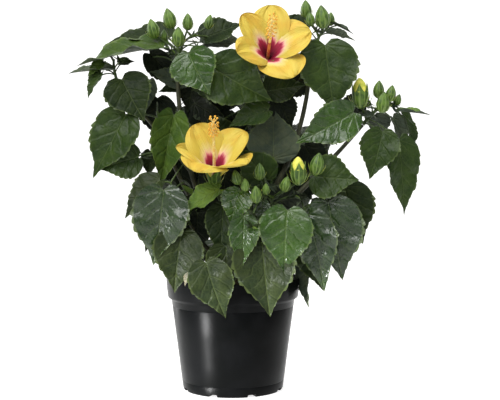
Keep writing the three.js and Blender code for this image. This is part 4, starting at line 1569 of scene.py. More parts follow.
@dataclass
class Grower:
    """Grows the leaves that aren't listed one by one."""

    skeleton: Skeleton
    space: Space = field(default_factory=Space)

    TRIES = 18
    TURN_ON = 31  # degrees that a leaf without room is turned on at each try
    LIMB_ROOM = 1.2
    CROWN: Box = ((-100, 130), (-60, 112), (100, 330))
    LIGHTS = (Form.LIGHT, Form.LIGHT_WAVY, Form.LIGHT_DROOPED)
    FINER = ((16, 0.8), (22, 0.62))  # for each finer layer, how many leaves are tried and their size
    EASE = (0.62, 0.75)  # share of the usual clearance that finer leaves keep, and those deep inside
    UNRULY = 44  # degrees over which finer leaves stray
    SLENDER = (1.2, 0.8)  # radii of the markers of leaves deep inside and of their stalks

    def claim(self) -> None:
        """Takes the room of the limbs and the display leaves."""
        for limb in self.skeleton.limbs.values():
            points, radii = limb.line(33)
            self.space.take(np.c_[points, radii + self.LIMB_ROOM])
        for shoot in SHOOTS:
            curve = self.skeleton.stem(shoot)
            for blade in shoot.display:
                self.space.take(Space.of_leaf(blade, curve))

    def ruled(self, shoot: Shoot, rule: Rule, ease: float, tints: Sequence[Tint], unruly: float) -> list[Blade]:
        """Sets leaves up a shoot, each a golden angle round from the last, turned on and made smaller without room.

        Args:
            shoot: The shoot, which has a room.
            rule: The rule's numbers.
            ease: Share of the usual clearance that has to stay clear.
            tints: Colours dealt out leaf by leaf.
            unruly: Degrees over which a leaf's slope and face stray from the rule.

        Returns:
            The leaves that found room.
        """
        draw = Stream(rule.seed).next
        curve = self.skeleton.stem(shoot)
        made: list[Blade] = []
        for i in range(rule.count):
            share = (i + 0.5) / rule.count
            full = rule.length * (1.1 - 0.35 * share) * (0.9 + 0.2 * draw())
            slope = math.radians(rule.pitch + 16 * (draw() - 0.5) + 24 * share)
            reach = 0.45 + 0.2 * draw()
            roll = 0.0
            if unruly:
                slope += math.radians(unruly * (draw() - 0.5))
                roll = 1.6 * unruly * (draw() - 0.5)
            for attempt in range(self.TRIES):
                size = full * (1 - 0.02 * attempt)
                way = math.radians(rule.bearing + i * GOLDEN + attempt * self.TURN_ON)
                outward = np.array([math.cos(way), math.sin(way), 0])
                at = curve.at(share) + outward * reach * size + UP * 0.3 * reach * size
                along = outward * math.cos(slope) + UP * math.sin(slope)
                face = turned_about(square_to(outward * 0.35 + UP, along), along, roll)
                look = (tints[i % len(tints)], self.LIGHTS[i % len(self.LIGHTS)])
                blade = Blade(at, along, face, size, 0.76 * size, *look)
                if self.settles(blade, Space.of_leaf(blade, curve), shoot.room, ease):
                    made.append(blade)
                    break
        return made

    def settles(self, blade: Blade, markers: Array, room: Box, ease: float) -> bool:
        """Takes a leaf's room if it is free.

        Args:
            blade: The leaf.
            markers: Its markers and its stalk's.
            room: Where they have to stay.
            ease: Share of the usual clearance that has to stay clear. Below 1 the crown's openings stay open too.

        Returns:
            Whether it was.
        """
        if not self.space.has(markers, room, ease) or (ease < 1 and self.shows_through(blade)):
            return False
        self.space.take(markers)
        return True

    @staticmethod
    def shows_through(blade: Blade) -> bool:
        """Tests whether a leaf would close one of the openings in the crown.

        Args:
            blade: The leaf.

        Returns:
            Whether it would.
        """
        x, y, z = blade.points((0.05, 0.25, 0.45, 0.65, 0.85, 1.0), (-1, -0.5, 0, 0.5, 1)).T
        scale = Camera.DISTANCE / (Camera.DISTANCE + y)
        seen_x = Camera.AIM[0] + (x - Camera.AIM[0]) * scale
        seen_z = Camera.HEIGHT + (z - Camera.HEIGHT) * scale
        return any(
            bool(((left < seen_x) & (seen_x < right) & (low < seen_z) & (seen_z < high)).any())
            for left, low, right, high in OPENINGS
        )

    def thicket(self, thicket: Thicket, curve: Bend, seed: int) -> list[Blade]:
        """Fills a part of the crown with leaves.

        Args:
            thicket: Where and which.
            curve: The stem that their stalks leave from.
            seed: Seed of the stream that places them.

        Returns:
            The leaves that found room.
        """
        draw = Stream(seed).next
        low, high = np.array(thicket.box, float).T
        look = np.array([thicket.facing, thicket.facing, 1])
        made: list[Blade] = []
        for i in range(thicket.tries):
            at = low + (high - low) * np.array([draw(), draw(), draw()])
            size = thicket.length * (0.75 + 0.4 * draw())
            tint = thicket.tints[i % len(thicket.tints)]
            way = leaf(tuple(at), 360 * draw(), -20 + 40 * draw(), -50 + 100 * draw(), size, 0.78 * size)
            blade = Blade(way.at, way.along * look, way.face * look, size, way.width, tint, Form.LIGHT_WAVY)
            if self.settles(blade, Space.of_leaf(blade, curve, *self.SLENDER), self.CROWN, self.EASE[1]):
                made.append(blade)
        return made

    def grow(self) -> dict[str, list[Blade]]:
        """Grows every shoot's leaves: the rule's first, then finer ones between them, then those deep inside.

        Returns:
            The leaves of each shoot by its name, the listed display leaves first.
        """
        self.claim()
        blades = {shoot.name: list(shoot.display) for shoot in SHOOTS}
        tints = (Tint.DARK, Tint.MID, Tint.DARK, Tint.BRIGHT, Tint.OLIVE)
        ruled = [(shoot, shoot.rule) for shoot in SHOOTS if shoot.rule]
        for shoot, rule in ruled:
            blades[shoot.name] += self.ruled(shoot, rule, 1.0, tints, 0.0)
        for layer, (count, size) in enumerate(self.FINER):
            for shoot, old in ruled:
                seed = old.seed + 1000 * (layer + 1)
                rule = Rule(seed, count, old.bearing + 70, old.pitch + 8, old.length * size)
                blades[shoot.name] += self.ruled(shoot, rule, self.EASE[0], tints[layer:], self.UNRULY)
        stems = {shoot.name: self.skeleton.stem(shoot) for shoot in SHOOTS}
        for i, thicket in enumerate(THICKETS):
            blades[thicket.owner] += self.thicket(thicket, stems[thicket.owner], 3000 + i)
        log.info("leaves: %d", sum(map(len, blades.values())))
        return blades


# ---- pieces of the plant
Row = tuple[Sequence[float], Place, Place, int, int]


@dataclass
class Workshop:
    """The trees, patterns and materials that the plant's pieces share."""

    tube: NodeTool = field(default_factory=tube_tool)
    scatter: NodeTool = field(default_factory=lambda: scatter_tool(len(Tint)))
    scatter_plain: NodeTool = field(default_factory=lambda: scatter_tool(1))
    patterns: dict[str, bpy.types.Collection] = field(default_factory=dict)
    skins: dict[Tint, Material] = field(default_factory=lambda: {t: t.material() for t in Tint})

    def __post_init__(self) -> None:
        """Builds the shared materials and patterns."""
        self.under = LeafSkin(name="living_leaf_underside", green="#414c3b", vein="#7f8e6c", roughness=0.55).build()
        self.stalk = Bark("living_stalk_green", 0.5, light="#566c33", dark="#2f3f20", depth_mm=0.15).build()
        self.young = Bark("young_bark_green", 0.58, light="#4a4c32", dark="#262918", depth_mm=0.3).build()
        self.old = Bark("woody_bark_brown", 0.75, light="#6d6046", dark="#352c1d", grain_mm=2.2, depth_mm=0.6).build()
        self.bud = BudSkin().build()
        self.petal = PetalTissue().build()
        self.tip = PlainTissue("living_petal_furled", 0.55, light="#ece468", dark="#c9cf4a", grain_mm=4).build()
        self.pale = PlainTissue("living_filament", 0.5, light="#f6eaa6", dark="#ecca72", grain_mm=2).build()
        self.flushed = PlainTissue("living_filament_flushed", 0.5, light="#e39a55", dark="#c2503c", grain_mm=5).build()
        self.anther = PlainTissue("pollen_grains", 0.75, light="#f2c552", dark="#e0992c", grain_mm=0.8).build()
        leaves = [form.value.pattern(i) for i, form in enumerate(Form)]
        for kind, objects in (("leaf", leaves), ("bud", BudShape().patterns()), ("stamen", StamenShape().patterns())):
            self.patterns[kind] = bpy.data.collections.new(f"{kind}_patterns")
            for pattern in objects:
                self.patterns[kind].objects.link(pattern)

    def strew(
        self, name: str, kind: str, rows: Sequence[Row], materials: Sequence[Material]
    ) -> Object:
        """Puts patterns at places, as one mesh.

        Args:
            name: The piece's name.
            kind: Which patterns.
            rows: For each one its place, turn, size in millimetres, pattern number and tint number.
            materials: One for each tint, and the one for faces flagged "under".

        Returns:
            The plain mesh object.
        """
        mesh = bpy.data.meshes.new(name)
        mesh.from_pydata([(np.array(row[0]) * MM).tolist() for row in rows], [], [])
        for column, (key, scale) in enumerate((("turn", 1), ("size", MM)), 1):
            vectors = np.array([row[column] for row in rows], np.float64) * scale
            layer = mesh.attributes.new(key, "FLOAT_VECTOR", "POINT")
            layer.data.foreach_set("vector", vectors.astype(np.float32).ravel())
        for column, key in enumerate(("kind", "tint"), 3):
            layer = mesh.attributes.new(key, "INT", "POINT")
            layer.data.foreach_set("value", np.array([row[column] for row in rows], np.int32))
        values = {"Patterns": self.patterns[kind], "Underside": materials[-1]}
        values |= {f"Tint {i}": material for i, material in enumerate(materials[:-1])}
        tool = self.scatter_plain if len(materials) == 2 else self.scatter
        return tool.use_on(placed(name, mesh), name, values)


@dataclass(frozen=True)
class BudShape:
    """A bud, 1 long: a ribbed calyx over a ring of thin bracts, closed or with its petals showing."""

    bracts: int = 8
    out: float = 0.35  # from the axis to a bract's tip
    sides: int = 40
    points: int = 5

    # pairs of radius and height
    CLOSED = (
        *((0, -0.05), (0.1, -0.045), (0.19, 0.03), (0.27, 0.15), (0.315, 0.3), (0.32, 0.42)),
        *((0.3, 0.55), (0.25, 0.68), (0.18, 0.8), (0.1, 0.91), (0.04, 0.975), (0, 1)),
    )
    CUP = ((0, -0.05), (0.1, -0.045), (0.18, 0.03), (0.24, 0.15), (0.275, 0.3), (0.285, 0.42), (0.29, 0.52))
    FURLED = ((0, 0.3), (0.255, 0.42), (0.27, 0.55), (0.235, 0.7), (0.17, 0.83), (0.1, 0.93), (0.04, 0.985), (0, 1))

    @staticmethod
    def ribbed(turn: float, share: float) -> float:
        """Gives the closed calyx ten ribs that fade towards its tip."""
        return 1 + 0.05 * math.cos(2 * math.pi * 10 * turn) * (1 - share)

    @staticmethod
    def swirled(turn: float, share: float) -> float:
        """Winds the edges of the five furled petals round the bud."""
        return 1 + 0.06 * math.sin(2 * math.pi * (5 * turn + 1.2 * share))

    def bract(self, draft: Draft, turn: float) -> None:
        """Adds one thin bract that leaves the bud's foot and bends up beside it.

        Args:
            draft: What it is added to.
            turn: Its turn round the bud, in radians.
        """
        direction = np.array([math.cos(turn), math.sin(turn), 0])
        side = np.cross(UP, direction)
        shares = np.linspace(0, 1, 5)
        middle = [direction * (0.1 + self.out * math.sqrt(s)) + UP * (0.5 * s - 0.02) for s in shares]
        widths = 0.042 * (1 - shares) ** 0.6
        points = np.array([[m - side * w, m + direction * w * 0.6, m + side * w] for m, w in zip(middle, widths)])
        lift = np.tile(direction * 0.018, (len(shares), 3, 1))
        lift *= (1 - shares)[:, None, None] + 0.05
        draft.shell(points / MM, lift / MM)

    def cup(self, draft: Draft, spread: float) -> None:
        """Adds an open calyx whose rim runs up into points.

        Args:
            draft: What it is added to.
            spread: How far the points lean out, of their height.
        """
        turns = np.linspace(0, 1, self.sides + 1)
        angle = 2 * math.pi * turns
        jag = np.abs(((turns * self.points) % 1) - 0.5) * 2
        rows = []
        for row, (radius, height) in enumerate(self.CUP):
            rim = row == len(self.CUP) - 1
            lifted = height + (0.3 * jag**1.3 if rim else 0.12 * jag * max(0, row - 4) / 2)
            around = radius + (spread - 0.06) * np.clip(lifted - 0.45, 0, 1)
            rows.append(np.stack([around * np.cos(angle), around * np.sin(angle), lifted], 1))
        outer = np.array(rows)
        inner = outer.copy()
        inner[..., :2] *= 0.93
        inner[0, :, 2] += 0.02
        points = np.concatenate([outer, inner[::-1]])
        uv = np.stack(np.meshgrid(turns, np.linspace(0, 1, len(points))), -1)
        draft.grid(points / MM, uv, closed=True)

    def patterns(self) -> list[Object]:
        """Builds the closed bud, the opening bud and the open bloom's calyx, which point up +Z.

        Returns:
            The objects, in no collection.
        """
        made = []
        for index in range(3):
            draft = Draft()
            if index == 0:
                draft.lathe(self.CLOSED, self.sides, self.ribbed, 1 / MM)
            else:
                self.cup(draft, 0.0 if index == 1 else 0.75)
            if index == 1:
                draft.lathe(self.FURLED, 30, self.swirled, 1 / MM, 1.0)
            for i in range(self.bracts):
                self.bract(draft, 2 * math.pi * (i + 0.3) / self.bracts)
            made.append(draft.to_object(f"pattern_{index:02d}", "bud", linked=False))
        return made


@dataclass(frozen=True)
class StamenShape:
    """A filament with its anther, and a stigma on its style, both 1 long and pointing up +Z."""

    BOTH = ((0.045, 0.2, 0.75), (0.05, 0.16, 1.0))  # radius of the thread and the head, and the head's flatness

    def patterns(self) -> list[Object]:
        """Builds both patterns.

        Returns:
            The objects, in no collection.
        """
        made = []
        for index, (thin, ball, squash) in enumerate(self.BOTH):
            draft = Draft().lathe([(0, 0), (thin, 0.02), (thin, 0.8), (0, 0.85)], 5, scale=1 / MM)
            angles = np.linspace(-math.pi / 2, math.pi / 2, 7)
            head = [(ball * math.cos(a), 0.86 + ball * squash * math.sin(a)) for a in angles]
            head[0], head[-1] = (0, head[0][1]), (0, head[-1][1])
            draft.lathe(head, 8, scale=1 / MM, flag=1.0)
            made.append(draft.to_object(f"pattern_{index:02d}", linked=False))
        return made


@dataclass
class Flower:
    """An open bloom: five ruffled petals, the column with its anthers and stigmas, and the calyx."""

    name: str
    bloom: Bloom
    shop: Workshop
    calyx_length: float = 15
    column_radius: float = 1.35
    thickness: float = 0.55
    rows: int = 34
    columns: int = 23
    petals: int = 5
    anthers: int = 48

    RUFFLE = 4.2  # depth of the slow waves along a petal's margin
    CRIMP = 3.4  # and of the fine ones
    END = 0.94  # share of the column where its stigmas are
    ANTHER = (4.2, 1.8)  # least length with its filament, and how much longer some are
    STIGMA = (6.5, 6.5, 7.5)
    COLUMN = {"Sides": 12, "Relief": 0.0001, "Grain": 900.0}

    def __post_init__(self) -> None:
        """Works out the bloom's axis."""
        self.axis = pointing(self.bloom.turn, self.bloom.lean)
        self.start = np.array(self.bloom.at, float)

    def petal(self, draft: Draft, outward: Array, pose: Petal) -> None:
        """Adds one petal.

        Args:
            draft: What the petal is added to.
            outward: The way it leaves the axis, square to it.
            pose: How it differs from the others.
        """
        first, last = (math.radians(a + d) for a, d in zip(self.bloom.opening, (pose.start, pose.end)))
        flare = last - first
        length = self.bloom.petal_length * pose.length
        shares = 0.03 + 0.97 * (1 - (1 - np.linspace(0, 1, self.rows)) ** 1.4)
        share, across = np.meshgrid(shares, np.linspace(-1, 1, self.columns), indexing="ij")
        angle = first + flare * share
        out = length / flare * (math.cos(first) - np.cos(angle))
        up = length / flare * (np.sin(angle) - math.sin(first))
        half = np.maximum(np.clip(np.sin(np.pi * share**1.6), 0, 1) ** 0.55, 0.25 * (share < 0.5))
        reach = self.bloom.petal_width * pose.width / 2 * half * across
        wave = np.sin(2 * np.pi * (across * 1.35 + pose.phase)) * np.clip(share - 0.35, 0, 1) ** 1.5 * self.RUFFLE
        crimp = np.sin(2 * np.pi * (across * 4.1 + pose.phase * 2)) * np.clip(share - 0.72, 0, 1) * self.CRIMP
        roll = math.radians(pose.roll)
        lift = 0.1 * np.abs(reach) * across + 0.12 * np.abs(reach) + (wave + crimp) * half
        lift += reach * math.sin(roll) + 0.25 * np.sin(across * 40) * half
        base = self.start + self.axis * self.calyx_length * 0.3
        rise, away = up + lift * np.sin(angle), out - lift * np.cos(angle)
        points = base + self.axis * rise[..., None] + outward * away[..., None]
        points = points + np.cross(outward, self.axis) * (reach * math.cos(roll))[..., None]
        lean = angle[..., None]
        normal = self.axis * np.sin(lean) - outward * np.cos(lean)
        thick = self.thickness * (1 - 0.6 * share[..., None])
        draft.shell(points, normal * thick, np.stack([0.5 + across / 2, share], -1))

    def build_petals(self) -> None:
        """Builds the petals as one piece."""
        draft = Draft()
        first = square_to(UP, self.axis)
        for i, pose in enumerate(self.bloom.petals):
            self.petal(draft, turned_about(first, self.axis, i * 360 / self.petals + pose.turn), pose)
        finish_piece(draft.to_object(f"{self.name}_petals", "petal"), self.name, self.shop.petal)

    def column_point(self, share: float) -> Array:
        """Finds a point of the column, which sags a little towards the ground.

        Args:
            share: Share of its length.

        Returns:
            The point.
        """
        length = self.bloom.column
        sag = 0.04 * length * share**2 * (1 - abs(self.axis[2]))
        return self.start + self.axis * length * share - UP * sag

    def build_column(self) -> None:
        """Builds the column that carries the anthers, its foot apart from the rest."""
        foot = self.shop.flushed if self.bloom.flushed else self.shop.pale
        for part, first, last, skin in (("foot", 0.02, 0.46, foot), ("column", 0.459, self.END, self.shop.pale)):
            shares = np.linspace(first, last, 14)
            points = np.array([self.column_point(s) for s in shares])
            line = (points, self.column_radius * (1.25 - 0.45 * shares))
            piece = tubes([line], f"{self.name}_{part}", self.shop.tube, self.COLUMN | {"Material": skin})
            finish_piece(piece, self.name)

    def build_stamens(self) -> None:
        """Builds the anthers up the column's outer half and the stigmas at its end, by nodes."""
        draw = Stream(71).next
        across = square_to(UP + np.array([0.3, 0.2, 0]), self.axis)
        first = self.bloom.anthers
        rows: list[Row] = []
        for i in range(self.anthers):
            share = first + (self.END - 0.01 - first) * (i + 0.5) / self.anthers
            outward = turned_about(across, self.axis, i * GOLDEN + 20 * draw())
            way = unit(outward + self.axis * (0.2 + 0.5 * draw()))
            size = self.ANTHER[0] + self.ANTHER[1] * draw()
            rows.append((self.column_point(share), upright_turn(way), (size * 0.9, size * 0.9, size), 0, 0))
        for i in range(self.petals):
            way = unit(self.axis * 1.5 + turned_about(across, self.axis, i * 360 / self.petals))
            rows.append((self.column_point(self.END), upright_turn(way), self.STIGMA, 1, 0))
        skins = (self.shop.pale, self.shop.anther)
        finish_piece(self.shop.strew(f"{self.name}_stamens", "stamen", rows, skins), self.name)

    def build_calyx(self) -> None:
        """Builds the green cup with its bracts under the petals."""
        size = self.calyx_length * 1.75
        rows = [(self.start, upright_turn(self.axis), (size * 0.95, size * 0.95, size), 2, 0)]
        skins = (self.shop.bud, self.shop.petal)
        finish_piece(self.shop.strew(f"{self.name}_calyx", "bud", rows, skins), self.name)


@dataclass
class Foliage:
    """One shoot's twigs, leaves, buds and bloom."""

    shoot: Shoot
    blades: list[Blade]
    skeleton: Skeleton
    shop: Workshop
    petiole: float = 0.8
    sink: float = 5  # how far a stalk runs on under its blade

    RISE = 0.22  # how far a leaf's stalk arches, of its length
    STEM = (1.9, 0.7)  # radius at the stem's foot, and how much it loses to its tip
    NODES = 6  # swellings up the stem
    TWIGS = {"Sides": 8, "Relief": 0.00025, "Grain": 500.0}

    def stalk(self, start: Array, end: Array, rise: float, radius: float) -> Line:
        """Works out a stalk that swells at both ends.

        Args:
            start: Where it leaves the stem.
            end: Its far end.
            rise: How far it arches, of its length.
            radius: Its radius between the ends.

        Returns:
            Points and radii along it.
        """
        shares = np.linspace(0, 1, 9)
        swell = 1 + 0.35 * np.exp(-shares / 0.06) + 0.2 * np.exp(-(1 - shares) / 0.08)
        return stalk_curve(start, end, rise).line(9), radius * swell

    def twig_lines(self) -> list[Line]:
        """Works out the stem and every stalk.

        Returns:
            Points and radii along each.
        """
        curve = self.skeleton.stem(self.shoot)
        shares = np.linspace(0, 1, 18)
        nodes = 1 + 0.16 * np.exp(-(((shares * self.NODES) % 1 - 0.5) / 0.12) ** 2)
        lines = [(curve.line(18), (self.STEM[0] - self.STEM[1] * shares) * nodes)]
        for blade in self.blades:
            end = blade.at + blade.along * self.sink - blade.face * 0.4
            radius = self.petiole * (0.7 + blade.length / 200)
            lines.append(self.stalk(stem_point(curve, blade.at), end, self.RISE, radius))
        for bud in self.shoot.buds:
            foot = np.array(bud.at, float)
            lines.append(self.stalk(stem_point(curve, foot), foot + bud.along() * 0.1 * bud.length, 0.05, 0.9))
        if self.shoot.bloom:
            flower = self.shoot.bloom
            end = np.array(flower.at, float) + pointing(flower.turn, flower.lean) * 2
            lines.append(self.stalk(curve.at(0.9), end, 0, 1.4))
        for place in self.shoot.sprigs:
            foot = np.array(place, float)
            lines.append(self.stalk(stem_point(curve, foot), foot, 0.1, 0.7))
        return lines

    def sprig_leaves(self) -> list[Blade]:
        """Sets the tiny leaves of the sprigs: narrow, young, and spread round their foot.

        Returns:
            The leaves.
        """
        made = []
        for i, place in enumerate(self.shoot.sprigs):
            draw = Stream(900 + 7 * i + len(self.shoot.name)).next
            for tint in (Tint.MID, Tint.YOUNG, Tint.DARK) * 2:
                turn = 180 + 150 * (draw() - 0.5) * 2
                size = 5 + 6 * draw()
                made.append(leaf(place, turn, 60 * (draw() - 0.4), 360 * draw(), size, size * 0.3, tint, Form.LIGHT))
        return made

    def build(self) -> None:
        """Builds the shoot's pieces."""
        shoot, shop = self.shoot, self.shop
        name = shoot.name
        values = self.TWIGS | {"Material": shop.stalk}
        finish_piece(tubes(self.twig_lines(), f"{name}_twigs", shop.tube, values), name)
        forms, tints = list(Form), list(Tint)
        rows: list[Row] = [
            (b.at, b.euler(), (b.length, b.width, b.length), forms.index(b.form), tints.index(b.tint))
            for b in (*self.blades, *shoot.extra, *self.sprig_leaves())
        ]
        skins = [*shop.skins.values(), shop.under]
        finish_piece(shop.strew(f"{name}_leaves", "leaf", rows, skins), name)
        if shoot.buds:
            rows = [(b.at, upright_turn(b.along()), (b.length,) * 3, int(b.opening), 0) for b in shoot.buds]
            finish_piece(shop.strew(f"{name}_buds", "bud", rows, (shop.bud, shop.tip)), name)
        if shoot.bloom:
            flower = Flower(name, shoot.bloom, shop)
            flower.build_petals()
            flower.build_column()
            flower.build_stamens()
            flower.build_calyx()


@dataclass
class Wood:
    """The trunk and the boughs, with the relief of their bark."""

    skeleton: Skeleton
    shop: Workshop

    FOOT = 1.5  # how far the trunk's foot is sunk into the soil
    TRUNK = {"Sides": 28, "Relief": 0.0016, "Grain": 260.0}
    BOUGH = {"Sides": 14, "Relief": 0.0006, "Grain": 420.0}

    def build(self) -> None:
        """Builds a piece for each limb."""
        for name, limb in self.skeleton.limbs.items():
            woody = name == "trunk"
            points, radii = limb.line(40 if woody else 30)
            points[0, 2] -= self.FOOT if woody else 0
            values = self.TRUNK | {"Material": self.shop.old} if woody else self.BOUGH | {"Material": self.shop.young}
            piece = tubes([(points, radii)], f"{name}_bark", self.shop.tube, values)
            finish_piece(piece, name)


@dataclass
class Pot:
    """A round nursery pot with a stepped rim band, shallow grooves, and drain notches round its foot."""

    base: float = 50
    shoulder: tuple[float, float] = (61.7, 90.5)  # radius and height where the wall meets the rim band
    rim: tuple[float, float] = (65.3, 67)  # radius of the band at its foot and its top
    wall: float = 1.4
    floor: float = 2
    notches: int = 8
    notch_width: float = 9
    notch_height: float = 3
    sides: int = 144

    # heights up the wall, and how far it is set back there
    GROOVES = (
        *((3, 0), (9, 0), (9.6, 0.35), (10.2, 0), (30, 0)),
        *((55, 0), (83.2, 0), (83.8, 0.4), (84.4, 0), (89.6, 0)),
    )

    def outside(self) -> list[tuple[float, float]]:
        """Draws the profile up the outside, with its softened edges and its grooves.

        Returns:
            Pairs of radius and height.
        """
        slope = (self.shoulder[0] - self.base) / self.shoulder[1]
        step, band, rim = self.shoulder[0], *self.rim
        foot = [(self.base - 0.9, 0), (self.base - 0.2, 0.7), (self.base + 0.1, 1.6)]
        wall = [(self.base + slope * z - dip, z) for z, dip in self.GROOVES]
        edge = [(step + 0.3, 90.2), (step + 1.2, 91), (band - 0.6, 92.5), (band, 93.4), (band + 0.9, 102)]
        return [*foot, *wall, *edge, (rim - 0.2, 110.6), (rim - 0.1, 111.6), (rim - 0.7, 112)]

    def inside(self) -> list[tuple[float, float]]:
        """Draws the profile down the inside.

        Returns:
            Pairs of radius and height.
        """
        outer = ((self.rim[1], 111.6), (self.rim[1] - 0.1, 110.6), (self.rim[0], 94.4), (self.shoulder[0], 91.9))
        return [*((radius - self.wall, z) for radius, z in outer), (self.base - self.wall, self.floor)]

    def build(self) -> None:
        """Builds the pot and cuts its notches."""
        profile = [(0, 0), (self.base - 6, 0), *self.outside(), *self.inside(), (0, self.floor)]
        body = Draft().lathe(profile, self.sides).to_object("pot_shell")
        cutter = Draft()
        for i in range(self.notches):
            self.notch(cutter, 2 * math.pi * (i + 0.5) / self.notches)
        tool = cutter.to_object("pot_notches")
        cut = body.modifiers.new("notches", "BOOLEAN")
        cut.operation, cut.object, cut.solver = "DIFFERENCE", tool, "EXACT"
        bpy.context.view_layer.update()
        piece = baked(body, "pot_shell")
        bpy.data.objects.remove(tool)
        piece.data.shade_smooth()
        piece.data.set_sharp_from_angle(angle=math.radians(50))
        finish_piece(piece, "pot", PotPlastic().build())

    def notch(self, draft: Draft, turn: float) -> None:
        """Adds a block with chamfered upper edges where a drain notch is cut.

        Args:
            draft: What it is added to.
            turn: Its turn round the pot, in radians.
        """
        outward = np.array([math.cos(turn), math.sin(turn), 0])
        side = np.array([-math.sin(turn), math.cos(turn), 0])
        half, high, cut = self.notch_width / 2, self.notch_height, 1.2
        section = [(-half, -2), (half, -2), (half, high - cut), (half - cut, high), (cut - half, high)]
        section += [(-half, high - cut), (-half, -2)]
        ends = [
            np.array([outward * reach + side * s + UP * z for s, z in section])
            for reach in (self.base - 10, self.base + 12)
        ]
        middle = [np.tile(end[:-1].mean(axis=0), (len(section), 1)) for end in ends]
        draft.grid(np.array([middle[0], *ends, middle[1]]), closed=True)


@dataclass
class Soil:
    """Potting soil heaped a little towards the stem, with loose crumbs."""

    edge_height: float = 101
    crown_height: float = 105
    crown_radius: float = 16
    edge_radius: float = 64.3
    rings: int = 30
    sides: int = 96
    lumps: int = 220

    BODY = ((0, 3.4), (49.6, 3.4), (60, 91), (63.4, 94.6))  # radius and height, from the middle of its underside
    FLAT = 9  # radius round the trunk that has no lumps
    LIMITS = (-1.5, 1.6)  # how far lumps sink and rise
    CRUMBS = {"Density": 90000.0, "Largest": 0.0021, "Seed": 5}
    CRUMB_RADIUS = 62

    def build(self) -> None:
        """Builds the soil's body and its crumbs."""
        top = []
        for radius in np.linspace(self.edge_radius - 1, 0, self.rings):
            share = np.clip((radius - self.crown_radius) / (self.edge_radius - self.crown_radius), 0, 1)
            top.append((float(radius), float(self.crown_height - (self.crown_height - self.edge_height) * share)))
        edge = (self.edge_radius, self.edge_height)
        surface = Draft().lathe([*self.BODY, edge, *top], self.sides).to_object("soil_body")
        draw = Stream(17).next
        lumps = [
            (130 * (draw() - 0.5), 130 * (draw() - 0.5), 3 + 6 * draw(), 1.6 * (draw() - 0.6))
            for _ in range(self.lumps)
        ]
        least, most = self.LIMITS
        for vertex in surface.data.vertices:
            x, y, z = (c / MM for c in vertex.co)
            if z > self.edge_height - 0.5 and math.hypot(x, y) > self.FLAT:
                rise = sum(h * math.exp(-((x - bx) ** 2 + (y - by) ** 2) / w**2) for bx, by, w, h in lumps)
                vertex.co.z = (z + max(least, min(most, rise))) * MM
        peat = Peat().build()
        crumbs = placed("soil_crumbs", surface.data.copy())
        self.keep_top(crumbs.data)
        loose = crumb_tool().use_on(crumbs, "soil_crumbs", self.CRUMBS | {"Material": peat})
        finish_piece(surface, "soil", peat)
        finish_piece(loose, "soil")

    def keep_top(self, mesh: bpy.types.Mesh) -> None:
        """Keeps only the faces that look up, for the crumbs to lie on.

        Args:
            mesh: A copy of the soil's body.
        """
        low, wide = (self.edge_height - 2) * MM, self.CRUMB_RADIUS * MM
        work = bmesh.new()
        work.from_mesh(mesh)
        middles = {face: face.calc_center_median() for face in work.faces}
        away = [face for face, middle in middles.items() if middle.z < low or middle.xy.length > wide]
        bmesh.ops.delete(work, geom=away, context="FACES")
        work.to_mesh(mesh)
        work.free()


# ---- floor, lights and camera
def look(made: Object, place: Sequence[float], target: Sequence[float]) -> None:
    """Stands a light or a camera at a place and turns it to a target, both in metres."""
    made.location = place
    made.rotation_euler = (Vector(target) - Vector(place)).to_track_quat("-Z", "Y").to_euler()


@dataclass(frozen=True)
class Camera:
    """The camera, level with the upper third of the crown."""

    lens: float = 79.2
    sensor: float = 36

    DISTANCE = 1100.0
    HEIGHT = 238.0
    AIM = (17.0, 0.0, 189.0)

    def build(self) -> None:
        """Adds the camera and makes it the scene's own."""
        data = bpy.data.cameras.new("camera")
        data.lens, data.sensor_width = self.lens, self.sensor
        data.clip_start, data.clip_end = 0.05, 50
        made = placed("camera", data)
        look(made, Vector((self.AIM[0], -self.DISTANCE, self.HEIGHT)) * MM, Vector(self.AIM) * MM)
        bpy.context.scene.camera = made


@dataclass(frozen=True)
class PaintedBoard(Finish):
    """A plain matt white studio board that runs from the floor up behind the plant, with a glow behind it."""

    name: str = "studio_board_white"
    roughness: float = 0.9
    white: str = "#cbcbc9"
    glow: float = 0.8

    def dress(self, node: Adder) -> dict[str, object]:
        """Sets the white and the glow, which starts under the plant: painted light that whitens the plant's shadow on
        the board, while the floor in front of the plant has none.

        Args:
            node: Adds a node.

        Returns:
            The shader's inputs.
        """
        back = node("SeparateXYZ", node("TexCoord", out="Object"), out=1)
        return {
            "Base Color": linear(self.white),
            "Emission Color": linear("#ffffff"),
            # Painted light: the board glows under and behind the plant, which washes out the plant's shadow there.
            "Emission Strength": node("MapRange", back, -0.35, 0.02, 0.0, self.glow, **EASED),
        }


@dataclass(frozen=True)
class Lamp:
    """A soft rectangular light, in metres and watts, that looks at the plant's middle line."""

    name: str
    place: Place
    width: float
    height: float
    power: float
    aim: float = 0.2  # height that it looks at
    spread: float = 180  # degrees over which its grid lets light out

    def build(self) -> None:
        """Adds the light."""
        data = bpy.data.lights.new(self.name, "AREA")
        data.shape, data.size, data.size_y, data.energy = "RECTANGLE", self.width, self.height, self.power
        data.spread = math.radians(self.spread)
        look(placed(self.name, data), self.place, (0.0, 0.0, self.aim))


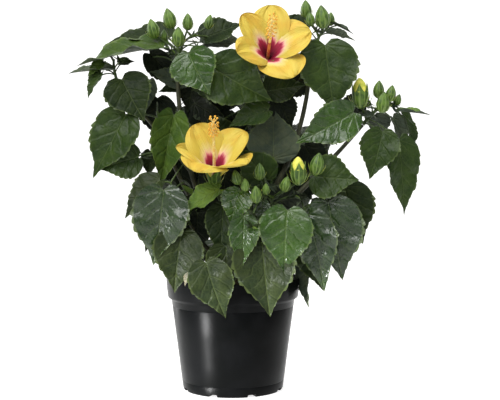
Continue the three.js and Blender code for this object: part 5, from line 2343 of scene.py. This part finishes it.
@dataclass(frozen=True)
class Studio:
    """A pale sweep in metres, and soft lights: from the left front, the right, above and behind."""

    lamps: tuple[Lamp, ...] = (
        Lamp("key", (-0.75, -1.1, 1.4), 1.1, 1.0, 21),
        Lamp("front", (-0.4, -1.6, 0.75), 1.1, 0.7, 5),
        Lamp("fill", (1.5, -1.2, 0.9), 0.9, 0.9, 3),
        Lamp("top", (0.1, -0.3, 1.6), 1.2, 0.9, 12.5),
        Lamp("strip", (-0.7, -0.54, 0.05), 0.5, 0.1, 0.85, 0.03, 17),
        Lamp("rim", (-0.9, 0.75, 0.5), 0.15, 1.2, 4),
    )
    world: float = 0.22  # strength of the even light from all round
    reach: float = 4.0
    back: float = 1.6  # where the floor starts to curve up
    curve: float = 0.9

    def build(self) -> None:
        """Adds the sweep, the lights and the world."""
        self.sweep()
        for lamp in self.lamps:
            lamp.build()
        world = bpy.data.worlds.new("studio")
        world.use_nodes = True
        fill(world.node_tree, world.node_tree.nodes["Background"], {0: linear("#ffffff"), 1: self.world})
        bpy.context.scene.world = world
        bpy.context.scene.view_settings.view_transform = "Standard"

    def sweep(self) -> None:
        """Builds the floor that curves up into the backdrop."""
        reach, back, curve = self.reach, self.back, self.curve
        angles = np.linspace(0.1, math.pi / 2, 12)
        steps = [(-reach, 0.0), (back, 0.0)]
        steps += [(back + curve * math.sin(a), curve - curve * math.cos(a)) for a in angles]
        steps.append((back + curve, reach))
        rows = np.array([[[x, y, z] for x in (-reach, reach)] for y, z in steps])
        draft = Draft()
        draft.grid(rows / MM)
        board = draft.to_object("floor")
        board.data.materials.append(PaintedBoard().build())


# ---- putting it together
def main() -> None:
    """Builds the scene in order."""
    logging.basicConfig(level=logging.INFO, format="%(message)s")
    Camera().build()
    Studio().build()
    shop = Workshop()
    skeleton = Skeleton()
    Pot().build()
    Soil().build()
    Wood(skeleton, shop).build()
    blades = Grower(skeleton).grow()
    for shoot in SHOOTS:
        Foliage(shoot, blades[shoot.name], skeleton, shop).build()


if __name__ == "__main__":
    main()
